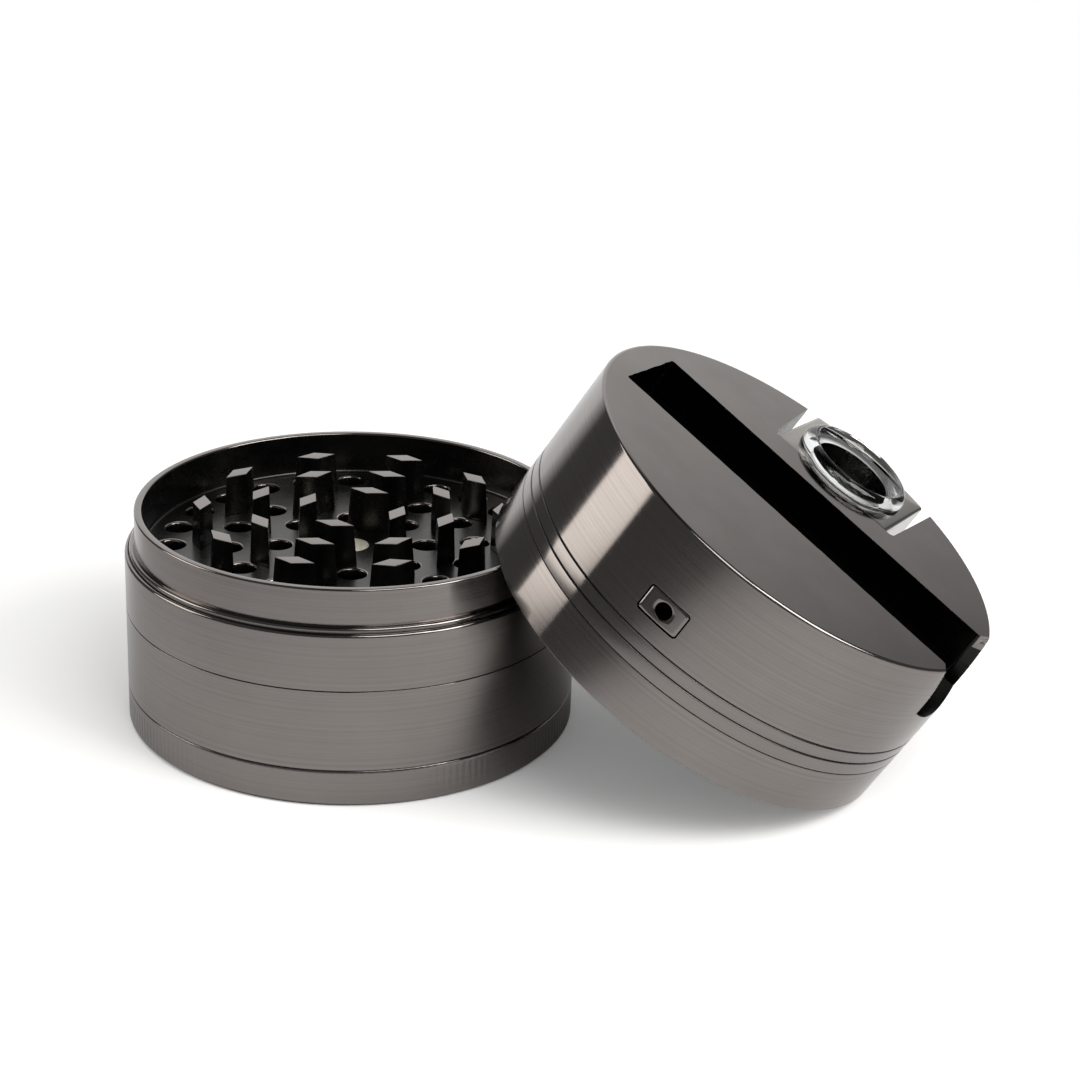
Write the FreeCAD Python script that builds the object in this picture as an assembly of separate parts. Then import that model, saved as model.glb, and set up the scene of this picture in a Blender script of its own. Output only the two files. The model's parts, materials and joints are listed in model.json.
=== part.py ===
"""Herb grinder with a pipe lid: stacked base, and the lid off, leaning on the base's collar.

Millimetres. Z is the base's axis, up; the base stands on Z = 0; the lid leans towards +X.
The lid's pieces are drawn upright, with the mouth at Z = 0 and the slot along X, then set leaning.
"""
import FreeCAD
import Part
import math
import os

Vec = FreeCAD.Vector
ORIGIN = Vec(0, 0, 0)
UP = Vec(0, 0, 1)

# Driving dimensions of the whole grinder
OUTER_R = 31.5
SEAM_GAP = 0.06
SEAM_CHAMFER = 0.18
EASY_GAP = 0.35
CLOSE_GAP = 0.05

# Base heights, from the floor up
TRAY_TOP = 5.3
COLLECTION_TOP = 16.8
SHOULDER_Z = 24.85
SHOULDER_ROUND = 0.42
SHOULDER_GROOVE = 0.2
BEAD_ROUND = 0.4
BEAD_RISE = 0.3
COLLAR_FOOT = 25.7
COLLAR_TOP = 30.7
COLLAR_R = 30.1
COLLAR_WALL = 1.1
RIM_EASE = 0.28
CHAMBER_FLOOR = 24.6
CHAMBER_FLOOR_THICK = 2.0
FLOOR_FILLET = 0.4

# Kief tray
TRAY_FLOOR = 1.5
FOOT_CHAMFER = 0.5

# Spigots that join the base sections, plain where the real ones are threaded
SPIGOT_R = 29.35
SPIGOT_CHAMFER = 0.4
LOWER_SPIGOT_FOOT = 2.4
UPPER_SPIGOT_TOP = 20.8
SKIRT_TOP = 21.4
SKIRT_STEP_R = 28.6
COLLECTION_BORE_R = 27.4

# Sieve and its split ring
SIEVE_LEDGE_R = 26.4
SIEVE_LEDGE_Z = 6.9
SIEVE_LEDGE_TOP = 7.9
SIEVE_RECESS_R = 28.0
SIEVE_R = 27.9
SIEVE_THICK = 0.3
SIEVE_HOLE_R = 1.2
SIEVE_PITCH = 3.4
SIEVE_RIM = 1.6
RING_INNER_R = 26.5
RING_THICK = 1.0
RING_SPLIT = 6.0

# Teeth: diamonds, long diagonal along the ring they stand on, drafted so that the root is larger than the tip
TOOTH_HALF_LONG = 2.85
TOOTH_HALF_WIDE = 1.28
TOOTH_DRAFT = 1.18
TOOTH_TOP = 30.4
CHAMBER_RINGS = ((6.65, 4, -3.5), (13.75, 8, -3.5), (20.85, 10, 14.5))
LID_RINGS = ((10.35, 4, 20.0), (17.35, 7, 0.0), (24.6, 9, 10.0))
FLOOR_HOLE_R = 1.9
FLOOR_HOLE_RINGS = ((10.4, 8, 17.7), (17.3, 14, 21.2), (25.2, 24, 3.2))
MAGNET_R = 2.4
MAGNET_THICK = 1.5

# Lid, upright: heights are from the mouth
LID_HEIGHT = 26.2
LID_PARTING = 7.0
LID_BORE_R = 30.35
LID_TOP_EASE = 0.3
EDGE_EASE = 0.15
MOUTH_EASE = 0.2
MOUTH_CHAMFER_R = 31.0
MOUTH_CHAMFER_TOP = 1.0
SLIP_LEDGE = 6.6
SLIP_THICK = 0.7
SLIP_INNER_R = 28.75
LID_CEILING = 7.4
LID_SPIGOT_TOP = 9.9
LID_SPIGOT_R = 29.3
LID_TOOTH_TIP = 2.6
POST_R = 4.2
POST_TIP = 0.8
LID_MAGNET_THICK = 2.5
GROOVES = (9.05, 11.0)
GROOVE_HALF = 0.3
GROOVE_DEPTH = 0.32

# Storage slot in the lid's top, and the finger scoop at its open end
SLOT_CLOSED_END = -27.2
SLOT_NEAR = -8.25
SLOT_FAR = 7.15
SLOT_DEPTH = 5.5
SLOT_CORNER = 0.5
SCOOP_START = 28.7
SCOOP_DEPTH = 9.6
SCOOP_RISE = 1.7
SCOOP_FLARE = 1.4

# Bowl block, in an open notch across from the mouthpiece
BOWL_X = -0.35
BOWL_Y = 21.2
NOTCH_HALF = 11.4
NOTCH_WALL_Y = 13.0
NOTCH_FLOOR = 13.6
NOTCH_CORNER = 0.8
BLOCK_HALF = 10.0
BLOCK_NEAR_Y = 13.25
BLOCK_FLOOR_GAP = 0.1
BLOCK_R = 31.4
BLOCK_EASE = 0.25
BLOCK_CORNER = 0.6
POCKET_R = 6.55
POCKET_FLOOR = 18.4
PAIR_MAGNET_R = 2.0
PAIR_MAGNET_THICK = 2.0
PAIR_MAGNET_X = 6.5
PAIR_MAGNET_Z = 20.0

# Glass bowl, heights from the block's top
GLASS_RIM_R = 8.55
GLASS_SIDE = 0.65
GLASS_CREST_R = 7.4
GLASS_CREST = 1.95
GLASS_LIP_R = 5.9
GLASS_LIP = 0.75
GLASS_STEM_R = 6.25
GLASS_DEPTH = 7.4
GLASS_DISH_R = 4.7
GLASS_DISH = -4.2
GLASS_HOLE_R = 1.4
GLASS_HOLE_TOP = -6.0
GLASS_RIM_BULGE = (0.22, 0.25)
GLASS_LIP_BULGE = (-0.12, 0.14)
GLASS_WALL_BULGE = (0.1, 0.0)
GLASS_DISH_BULGE = (0.5, -0.45)
SEAL_INNER_R = 6.75
SEAL_OUTER_R = 7.65
SEAL_THICK = 0.45

# Air passage and mouthpiece
AIR_X = 0.3
AIR_Z = 15.55
AIR_R = 1.2
AIR_SEAL_OUTER_R = 2.4
AIR_SEAL_INNER_R = 1.5
AIR_SEAL_THICK = 0.6
MOUTH_HALF_WIDE = 3.1
MOUTH_HALF_HIGH = 1.83
MOUTH_CORNER = 0.35
MOUTH_BORE_R = 1.15
MOUTH_INNER_END = -11.2
MOUTH_FACE_R = 31.42
MOUTH_GAP = 0.1
MOUTH_TRAVEL = 12.0
PIN_Y = -25.5
PIN_R = 0.6
PIN_BITE = 0.45
PIN_SLOT_HALF = 0.75
PIN_SLOT_DEPTH = 0.7

# How the lid leans
LID_TILT = 32.2
LID_TURN = -14.8
LID_MOUTH_X = 48.4
LID_FLOOR_GAP = 0.05


def on_profile(point):
    """A profile point (radius, height) as a vector in the XZ plane."""
    return Vec(point[0], 0, point[1])


def arc(centre, radius, start, end):
    """An arc step of an outline: its middle and end points, angles in degrees."""
    def at(angle):
        turn = math.radians(angle)
        return (centre[0] + radius * math.cos(turn), centre[1] + radius * math.sin(turn))
    return (at((start + end) / 2), at(end))


def revolved(outline):
    """Solid of revolution about Z. A step is a (radius, height) point, or an arc's (middle, end)."""
    edges = []
    here = outline[0]
    for step in outline[1:] + outline[:1]:
        if isinstance(step[0], tuple):
            middle, end = step
            edges.append(Part.Arc(on_profile(here), on_profile(middle), on_profile(end)).toShape())
        else:
            end = step
            edges.append(Part.LineSegment(on_profile(here), on_profile(end)).toShape())
        here = end
    return Part.Face(Part.Wire(edges)).revolve(ORIGIN, UP, 360)


def tube(inner, outer, low, high):
    """Plain ring between two radii and two heights."""
    return revolved([(inner, low), (outer, low), (outer, high), (inner, high)])


def rod(radius, start, end):
    """Cylinder from one point to another."""
    along = end - start
    return Part.makeCylinder(radius, along.Length, start, along)


def rounded_rectangle(low, high, corner):
    """Closed wire in the XY plane with all four corners rounded."""
    cut = corner * (1 - math.sqrt(0.5))
    (x0, y0), (x1, y1) = low, high
    points = [
        (x0 + corner, y0), (x1 - corner, y0), (x1 - cut, y0 + cut), (x1, y0 + corner),
        (x1, y1 - corner), (x1 - cut, y1 - cut), (x1 - corner, y1),
        (x0 + corner, y1), (x0 + cut, y1 - cut), (x0, y1 - corner),
        (x0, y0 + corner), (x0 + cut, y0 + cut),
    ]
    vectors = [Vec(x, y, 0) for x, y in points]
    edges = []
    for side in range(4):
        first, last, middle = vectors[3 * side:3 * side + 3]
        after = vectors[(3 * side + 3) % 12]
        edges.append(Part.LineSegment(first, last).toShape())
        edges.append(Part.Arc(last, middle, after).toShape())
    return Part.Wire(edges)


def rounded_bar(low, high, corner, bottom, top):
    """Upright bar with rounded vertical edges."""
    face = Part.Face(rounded_rectangle(low, high, corner))
    bar = face.extrude(Vec(0, 0, top - bottom))
    bar.translate(Vec(0, 0, bottom))
    return bar


def pocket_cutter(low, high, corner, bottom):
    """Cutter for a pocket in the lid's top, with an eased upper edge."""
    def ring(grow, height):
        grown_low = (low[0] - grow, low[1] - grow)
        grown_high = (high[0] + grow, high[1] + grow)
        wire = rounded_rectangle(grown_low, grown_high, corner + grow)
        wire.translate(Vec(0, 0, height))
        return wire
    over = 0.1
    ease = Part.makeLoft([ring(0, LID_HEIGHT - EDGE_EASE), ring(EDGE_EASE + over, LID_HEIGHT + over)], True)
    return rounded_bar(low, high, corner, bottom, LID_HEIGHT).fuse(ease)


def diamond(radius, scale, height):
    """Closed wire of a tooth's level section, at its ring's radius."""
    wide, long = scale * TOOTH_HALF_WIDE, scale * TOOTH_HALF_LONG
    corners = [Vec(radius - wide, 0, height), Vec(radius, -long, height),
               Vec(radius + wide, 0, height), Vec(radius, long, height)]
    return Part.makePolygon(corners + corners[:1])


def diamond_teeth(rings, root, tip):
    """Rings of diamond teeth between two heights. A ring is (radius, count, first tooth's azimuth)."""
    teeth = []
    for radius, count, first in rings:
        sections = [diamond(radius, TOOTH_DRAFT, root), diamond(radius, 1, tip)]
        pattern = Part.makeLoft(sections, True, True)
        for index in range(count):
            tooth = pattern.copy()
            tooth.rotate(ORIGIN, UP, first + index * 360 / count)
            teeth.append(tooth)
    return Part.makeCompound(teeth)


def round_holes(rings, radius, low, high):
    """Cutters for rings of upright round holes."""
    cutters = []
    for ring_r, count, first in rings:
        for index in range(count):
            turn = math.radians(first + index * 360 / count)
            foot = Vec(ring_r * math.cos(turn), ring_r * math.sin(turn), low)
            cutters.append(Part.makeCylinder(radius, high - low, foot))
    return cutters


def kief_tray():
    """Shallow tray with a flat foot, into which the collection chamber's lower spigot drops."""
    top = TRAY_TOP - SEAM_GAP
    bore = SPIGOT_R + EASY_GAP
    fillet = arc((bore - FLOOR_FILLET, TRAY_FLOOR + FLOOR_FILLET), FLOOR_FILLET, 0, -90)
    return revolved([
        (0, 0), (OUTER_R - FOOT_CHAMFER, 0), (OUTER_R, FOOT_CHAMFER),
        (OUTER_R, top - SEAM_CHAMFER), (OUTER_R - SEAM_CHAMFER, top),
        (bore, top), (bore, TRAY_FLOOR + FLOOR_FILLET), fillet, (0, TRAY_FLOOR),
    ])


def collection_chamber():
    """Open sleeve with a spigot at each end and a ledge for the sieve."""
    foot = TRAY_TOP + SEAM_GAP
    top = COLLECTION_TOP - SEAM_GAP
    ease = SPIGOT_R - SPIGOT_CHAMFER
    return revolved([
        (SIEVE_RECESS_R, LOWER_SPIGOT_FOOT), (ease, LOWER_SPIGOT_FOOT),
        (SPIGOT_R, LOWER_SPIGOT_FOOT + SPIGOT_CHAMFER), (SPIGOT_R, foot),
        (OUTER_R - SEAM_CHAMFER, foot), (OUTER_R, foot + SEAM_CHAMFER),
        (OUTER_R, top - SEAM_CHAMFER), (OUTER_R - SEAM_CHAMFER, top),
        (SPIGOT_R, top), (SPIGOT_R, UPPER_SPIGOT_TOP - SPIGOT_CHAMFER), (ease, UPPER_SPIGOT_TOP),
        (COLLECTION_BORE_R, UPPER_SPIGOT_TOP),
        (COLLECTION_BORE_R, SIEVE_LEDGE_TOP + COLLECTION_BORE_R - SIEVE_LEDGE_R),
        (SIEVE_LEDGE_R, SIEVE_LEDGE_TOP), (SIEVE_LEDGE_R, SIEVE_LEDGE_Z),
        (SIEVE_RECESS_R, SIEVE_LEDGE_Z),
    ])


def sieve_screen():
    """Thin disc with a close field of holes, under the collection chamber's ledge."""
    low = SIEVE_LEDGE_Z - CLOSE_GAP - SIEVE_THICK
    row_pitch = SIEVE_PITCH * math.sqrt(0.75)
    rows = int(SIEVE_R / row_pitch)
    wires = [Part.Wire(Part.Circle(ORIGIN, UP, SIEVE_R).toShape())]
    for row in range(-rows, rows + 1):
        shift = SIEVE_PITCH / 2 if row % 2 else 0
        for column in range(-rows - 1, rows + 2):
            centre = Vec(column * SIEVE_PITCH + shift, row * row_pitch, 0)
            if centre.Length + SIEVE_HOLE_R < SIEVE_R - SIEVE_RIM:
                wires.append(Part.Wire(Part.Circle(centre, UP, SIEVE_HOLE_R).toShape()))
    holes = [Part.Face(wire) for wire in wires[1:]]
    disc = Part.Face(wires[0]).cut(holes).extrude(Vec(0, 0, SIEVE_THICK))
    disc.translate(Vec(0, 0, low))
    return disc


def screen_ring():
    """Split ring that springs out against the sieve's recess."""
    top = SIEVE_LEDGE_Z - 2 * CLOSE_GAP - SIEVE_THICK
    ring = tube(RING_INNER_R, SIEVE_R, top - RING_THICK, top)
    corner = Vec(-OUTER_R, -RING_SPLIT / 2, top - 2 * RING_THICK)
    return ring.cut(Part.makeBox(SIEVE_R, RING_SPLIT, 3 * RING_THICK, corner))


def shoulder_steps():
    """Outline steps of the shoulder: rounded edge, fine groove, bead and the collar's foot groove."""
    edge_centre = (OUTER_R - SHOULDER_ROUND, SHOULDER_Z - SHOULDER_ROUND)
    groove_r = edge_centre[0] - SHOULDER_GROOVE / 2
    bead_r = groove_r - SHOULDER_GROOVE / 2
    bead_centre = (bead_r - BEAD_ROUND, SHOULDER_Z + BEAD_RISE)
    return [
        (OUTER_R, edge_centre[1]), arc(edge_centre, SHOULDER_ROUND, 0, 90),
        (groove_r, SHOULDER_Z - SHOULDER_GROOVE),
        (bead_r, SHOULDER_Z), (bead_r, bead_centre[1]), arc(bead_centre, BEAD_ROUND, 0, 110),
        (COLLAR_R, COLLAR_FOOT - SHOULDER_GROOVE),
    ]


def grinding_chamber():
    """Upper section: skirt below, drilled floor with a magnet pocket, shoulder and collar above."""
    foot = COLLECTION_TOP + SEAM_GAP
    bore = SPIGOT_R + EASY_GAP
    inner = COLLAR_R - COLLAR_WALL
    under = CHAMBER_FLOOR - CHAMBER_FLOOR_THICK
    fillet = arc((inner - FLOOR_FILLET, CHAMBER_FLOOR + FLOOR_FILLET), FLOOR_FILLET, 0, -90)
    body = revolved([
        (0, under), (SKIRT_STEP_R, under), (SKIRT_STEP_R, SKIRT_TOP), (bore, SKIRT_TOP), (bore, foot),
        (OUTER_R - SEAM_CHAMFER, foot), (OUTER_R, foot + SEAM_CHAMFER),
        *shoulder_steps(),
        (COLLAR_R, COLLAR_TOP - RIM_EASE), (COLLAR_R - RIM_EASE, COLLAR_TOP),
        (inner + RIM_EASE, COLLAR_TOP), (inner, COLLAR_TOP - RIM_EASE),
        (inner, CHAMBER_FLOOR + FLOOR_FILLET), fillet, (0, CHAMBER_FLOOR),
    ])
    holes = round_holes(FLOOR_HOLE_RINGS, FLOOR_HOLE_R, under - 1, CHAMBER_FLOOR + 1)
    pocket = rod(MAGNET_R + CLOSE_GAP, Vec(0, 0, CHAMBER_FLOOR - MAGNET_THICK), Vec(0, 0, CHAMBER_FLOOR + 1))
    return body.cut(holes + [pocket])


def chamber_magnet():
    """Disc magnet, flush in the chamber floor."""
    low = CHAMBER_FLOOR - MAGNET_THICK + CLOSE_GAP
    return rod(MAGNET_R, Vec(0, 0, low), Vec(0, 0, low + MAGNET_THICK))


def lid_tooth_ring():
    """Lower lid: skirt that drops over the collar, ceiling with a magnet post, spigot into the cap."""
    pocket = MAGNET_R + CLOSE_GAP
    pocket_top = POST_TIP + LID_MAGNET_THICK
    top = LID_PARTING - SEAM_GAP / 2
    return revolved([
        (0, pocket_top), (pocket, pocket_top), (pocket, POST_TIP),
        (POST_R - RIM_EASE, POST_TIP), (POST_R, POST_TIP + RIM_EASE), (POST_R, LID_CEILING),
        (SKIRT_STEP_R, LID_CEILING), (SKIRT_STEP_R, SLIP_LEDGE), (LID_BORE_R, SLIP_LEDGE),
        (LID_BORE_R, MOUTH_CHAMFER_TOP), (MOUTH_CHAMFER_R, 0),
        (OUTER_R - MOUTH_EASE, 0), (OUTER_R, MOUTH_EASE),
        (OUTER_R, top - SEAM_CHAMFER), (OUTER_R - SEAM_CHAMFER, top),
        (LID_SPIGOT_R, top), (LID_SPIGOT_R, LID_SPIGOT_TOP), (0, LID_SPIGOT_TOP),
    ])


def lid_magnet():
    """Disc magnet in the lid's centre post."""
    return rod(MAGNET_R, Vec(0, 0, POST_TIP), Vec(0, 0, POST_TIP + LID_MAGNET_THICK - CLOSE_GAP))


def slip_ring():
    """Flat ring up inside the lid, which the collar's top edge bears on."""
    top = SLIP_LEDGE - CLOSE_GAP
    return tube(SLIP_INNER_R, LID_BORE_R - 2 * CLOSE_GAP, top - SLIP_THICK, top)


def scoop_cutter():
    """Round-bottomed finger notch at the slot's open end, its sides leaning out from the slot's walls."""
    middle = (SLOT_NEAR + SLOT_FAR) / 2
    half = (SLOT_FAR - SLOT_NEAR) / 2
    low, high = LID_HEIGHT - SCOOP_DEPTH, LID_HEIGHT + 1
    foot = low + SCOOP_RISE

    def section(out):
        wide = half + SCOOP_FLARE * out

        def at(side, height):
            return Vec(SCOOP_START + out, middle + side, height)
        upper = [at(half, foot), at(wide, high), at(-wide, high), at(-half, foot)]
        edges = [Part.LineSegment(a, b).toShape() for a, b in zip(upper, upper[1:])]
        edges.append(Part.Arc(at(-half, foot), at(0, low), at(half, foot)).toShape())
        return Part.Wire(edges)
    return Part.makeLoft([section(0), section(OUTER_R + 1 - SCOOP_START)], True, True)


def mouthpiece_bar(grow, start, end):
    """Flat rounded bar along Y at the air passage's height."""
    half_wide = MOUTH_HALF_WIDE + grow
    half_high = MOUTH_HALF_HIGH + grow
    bar = rounded_bar((-half_wide, -half_high), (half_wide, half_high), MOUTH_CORNER + grow, 0, end - start)
    bar.rotate(ORIGIN, Vec(1, 0, 0), -90)
    bar.translate(Vec(AIR_X, start, AIR_Z))
    return bar


def magnet_pair(radius, start, end):
    """Two rods along Y, either side of the air passage."""
    pair = []
    for side in (-1, 1):
        x = BOWL_X + side * PAIR_MAGNET_X
        pair.append(rod(radius, Vec(x, start, PAIR_MAGNET_Z), Vec(x, end, PAIR_MAGNET_Z)))
    return pair


def lid_cap():
    """Upper lid: solid cap with turned grooves, slot, scoop, bowl notch and the air passage."""
    foot = LID_PARTING + SEAM_GAP / 2
    recess_r = LID_SPIGOT_R + 2 * CLOSE_GAP
    recess_top = LID_SPIGOT_TOP + CLOSE_GAP
    grooves = []
    for height in GROOVES:
        grooves += [(OUTER_R, height - GROOVE_HALF), (OUTER_R - GROOVE_DEPTH, height),
                    (OUTER_R, height + GROOVE_HALF)]
    body = revolved([
        (0, recess_top), (recess_r, recess_top), (recess_r, foot),
        (OUTER_R - SEAM_CHAMFER, foot), (OUTER_R, foot + SEAM_CHAMFER), *grooves,
        (OUTER_R, LID_HEIGHT - LID_TOP_EASE), (OUTER_R - LID_TOP_EASE, LID_HEIGHT), (0, LID_HEIGHT),
    ])
    far = 2 * OUTER_R
    slot = pocket_cutter((SLOT_CLOSED_END, SLOT_NEAR), (far, SLOT_FAR), SLOT_CORNER, LID_HEIGHT - SLOT_DEPTH)
    notch = pocket_cutter((BOWL_X - NOTCH_HALF, NOTCH_WALL_Y), (BOWL_X + NOTCH_HALF, far), NOTCH_CORNER,
                          NOTCH_FLOOR)
    channel = mouthpiece_bar(MOUTH_GAP, -far, MOUTH_INNER_END + MOUTH_GAP)
    passage = rod(AIR_R, Vec(AIR_X, MOUTH_INNER_END, AIR_Z), Vec(AIR_X, NOTCH_WALL_Y + 1, AIR_Z))
    seal_seat = rod(AIR_SEAL_OUTER_R + CLOSE_GAP, Vec(AIR_X, NOTCH_WALL_Y - AIR_SEAL_THICK, AIR_Z),
                    Vec(AIR_X, NOTCH_WALL_Y + 1, AIR_Z))
    pin_hole = rod(PIN_R + CLOSE_GAP, Vec(AIR_X, PIN_Y, 0), Vec(AIR_X, PIN_Y, AIR_Z))
    magnet_seats = magnet_pair(PAIR_MAGNET_R + CLOSE_GAP, NOTCH_WALL_Y - PAIR_MAGNET_THICK, NOTCH_WALL_Y + 1)
    return body.cut([slot, scoop_cutter(), notch, channel, passage, seal_seat, pin_hole] + magnet_seats)


def notch_magnets():
    """Pair of disc magnets set in the notch's back wall."""
    start = NOTCH_WALL_Y - PAIR_MAGNET_THICK + CLOSE_GAP
    return Part.makeCompound(magnet_pair(PAIR_MAGNET_R, start, NOTCH_WALL_Y))


def air_seal():
    """Soft ring round the air passage, in the notch's back wall."""
    ring = tube(AIR_SEAL_INNER_R, AIR_SEAL_OUTER_R, 0, AIR_SEAL_THICK - CLOSE_GAP)
    ring.rotate(ORIGIN, Vec(1, 0, 0), -90)
    ring.translate(Vec(AIR_X, NOTCH_WALL_Y - AIR_SEAL_THICK + CLOSE_GAP, AIR_Z))
    return ring


def mouthpiece_stop_pin():
    """Pin from the cap's underside into the slot under the mouthpiece."""
    top = AIR_Z - MOUTH_HALF_HIGH + PIN_BITE
    return rod(PIN_R, Vec(AIR_X, PIN_Y, LID_SPIGOT_TOP + 2 * CLOSE_GAP), Vec(AIR_X, PIN_Y, top))


def mouthpiece():
    """Flat bar with an air bore, a curved face flush with the lid's wall and a stop slot below."""
    bar = mouthpiece_bar(0, -2 * OUTER_R, MOUTH_INNER_END)
    bar = bar.common(Part.makeCylinder(MOUTH_FACE_R, 2 * LID_HEIGHT))
    bore = rod(MOUTH_BORE_R, Vec(AIR_X, -2 * OUTER_R, AIR_Z), Vec(AIR_X, 0, AIR_Z))
    low = AIR_Z - MOUTH_HALF_HIGH
    slot_start = PIN_Y - PIN_SLOT_HALF
    stop_slot = rounded_bar((AIR_X - PIN_SLOT_HALF, slot_start),
                            (AIR_X + PIN_SLOT_HALF, PIN_Y + MOUTH_TRAVEL + PIN_SLOT_HALF),
                            PIN_SLOT_HALF - CLOSE_GAP, low - 1, low + PIN_SLOT_DEPTH)
    return bar.cut([bore, stop_slot])


def bowl_block():
    """Block with a pocket for the glass bowl, an air passage and a seal groove, eased along its top."""
    top = LID_HEIGHT
    low = NOTCH_FLOOR + BLOCK_FLOOR_GAP
    block = Part.makeBox(2 * BLOCK_HALF, OUTER_R, top - low, Vec(BOWL_X - BLOCK_HALF, BLOCK_NEAR_Y, low))
    block = block.common(Part.makeCylinder(BLOCK_R, 2 * LID_HEIGHT))
    outer = [edge for edge in block.Edges if edge.BoundBox.ZLength > 1 and edge.BoundBox.YMin > BOWL_Y]
    block = block.makeFillet(BLOCK_CORNER, outer)
    rim = [edge for edge in block.Edges if abs(edge.BoundBox.ZMin - top) < 1e-6]
    block = block.makeChamfer(BLOCK_EASE, rim)
    pocket = rod(POCKET_R, Vec(BOWL_X, BOWL_Y, POCKET_FLOOR), Vec(BOWL_X, BOWL_Y, top + 1))
    drop = rod(AIR_R, Vec(BOWL_X, BOWL_Y, AIR_Z), Vec(BOWL_X, BOWL_Y, top))
    passage = rod(AIR_R, Vec(AIR_X, 0, AIR_Z), Vec(AIR_X, BOWL_Y, AIR_Z))
    groove = tube(SEAL_INNER_R - CLOSE_GAP, SEAL_OUTER_R + CLOSE_GAP, top - SEAL_THICK, top + 1)
    groove.translate(Vec(BOWL_X, BOWL_Y, 0))
    magnet_seats = magnet_pair(PAIR_MAGNET_R + CLOSE_GAP, 0, BLOCK_NEAR_Y + PAIR_MAGNET_THICK)
    return block.cut([pocket, drop, passage, groove] + magnet_seats)


def block_magnets():
    """Pair of disc magnets set in the block's near face."""
    end = BLOCK_NEAR_Y + PAIR_MAGNET_THICK - CLOSE_GAP
    return Part.makeCompound(magnet_pair(PAIR_MAGNET_R, BLOCK_NEAR_Y, end))


def bowl_seal():
    """Soft ring in the block's top, under the glass bowl's rim."""
    top = LID_HEIGHT
    ring = tube(SEAL_INNER_R, SEAL_OUTER_R, top - SEAL_THICK + CLOSE_GAP, top)
    ring.translate(Vec(BOWL_X, BOWL_Y, 0))
    return ring


def glass_bowl():
    """Thick glass bowl: rounded rim that rests on the block, dished inside, with an air hole below."""
    def bulged(start, end, out):
        """An arc step from start to end whose middle stands off the chord by (radius, height)."""
        return (((start[0] + end[0]) / 2 + out[0], (start[1] + end[1]) / 2 + out[1]), end)
    side = (GLASS_RIM_R, GLASS_SIDE)
    crest = (GLASS_CREST_R, GLASS_CREST)
    lip = (GLASS_LIP_R, GLASS_LIP)
    dish = (GLASS_DISH_R, GLASS_DISH)
    hole = (GLASS_HOLE_R, GLASS_HOLE_TOP)
    bowl = revolved([
        (GLASS_HOLE_R, -GLASS_DEPTH), (GLASS_STEM_R - RIM_EASE, -GLASS_DEPTH),
        (GLASS_STEM_R, -GLASS_DEPTH + RIM_EASE), (GLASS_STEM_R, CLOSE_GAP),
        (GLASS_RIM_R - EDGE_EASE, CLOSE_GAP), (GLASS_RIM_R, CLOSE_GAP + EDGE_EASE), side,
        bulged(side, crest, GLASS_RIM_BULGE), bulged(crest, lip, GLASS_LIP_BULGE),
        bulged(lip, dish, GLASS_WALL_BULGE), bulged(dish, hole, GLASS_DISH_BULGE),
    ])
    bowl.translate(Vec(BOWL_X, BOWL_Y, LID_HEIGHT))
    return bowl


def lid_placement():
    """The lid's lean: turned about its own axis, tipped towards +X, its low rim just off the floor."""
    low_rim = (OUTER_R - MOUTH_EASE) * math.sin(math.radians(LID_TILT))
    tip = FreeCAD.Rotation(Vec(0, 1, 0), LID_TILT)
    turn = FreeCAD.Rotation(UP, LID_TURN)
    return FreeCAD.Placement(Vec(LID_MOUTH_X, 0, low_rim + LID_FLOOR_GAP), tip.multiply(turn))


def build():
    """Make every piece and write it to its own file."""
    base = {
        "kief_tray": kief_tray(),
        "collection_chamber": collection_chamber(),
        "sieve_screen": sieve_screen(),
        "screen_ring": screen_ring(),
        "grinding_chamber": grinding_chamber(),
        "chamber_teeth": diamond_teeth(CHAMBER_RINGS, CHAMBER_FLOOR, TOOTH_TOP),
        "chamber_magnet": chamber_magnet(),
    }
    lid = {
        "lid_tooth_ring": lid_tooth_ring(),
        "lid_teeth": diamond_teeth(LID_RINGS, LID_CEILING, LID_TOOTH_TIP),
        "lid_magnet": lid_magnet(),
        "slip_ring": slip_ring(),
        "lid_cap": lid_cap(),
        "notch_magnets": notch_magnets(),
        "air_seal": air_seal(),
        "mouthpiece_stop_pin": mouthpiece_stop_pin(),
        "mouthpiece": mouthpiece(),
        "bowl_block": bowl_block(),
        "block_magnets": block_magnets(),
        "bowl_seal": bowl_seal(),
        "glass_bowl": glass_bowl(),
    }
    leaning = lid_placement()
    for shape in lid.values():
        shape.transformShape(leaning.toMatrix(), True)
    os.makedirs("parts", exist_ok=True)
    for name, shape in {**base, **lid}.items():
        shape.exportStep(f"parts/{name}.step")
        print(name, shape.isValid(), len(shape.Solids), round(shape.Volume, 2))
    print("lid axis", leaning.Rotation.multVec(UP), "slot", leaning.Rotation.multVec(Vec(1, 0, 0)),
          "bowl side", leaning.Rotation.multVec(Vec(0, 1, 0)), "mouth centre", leaning.Base)


build()
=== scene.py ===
"""Looks of a herb grinder with a pipe lid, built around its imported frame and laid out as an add-on."""

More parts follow.
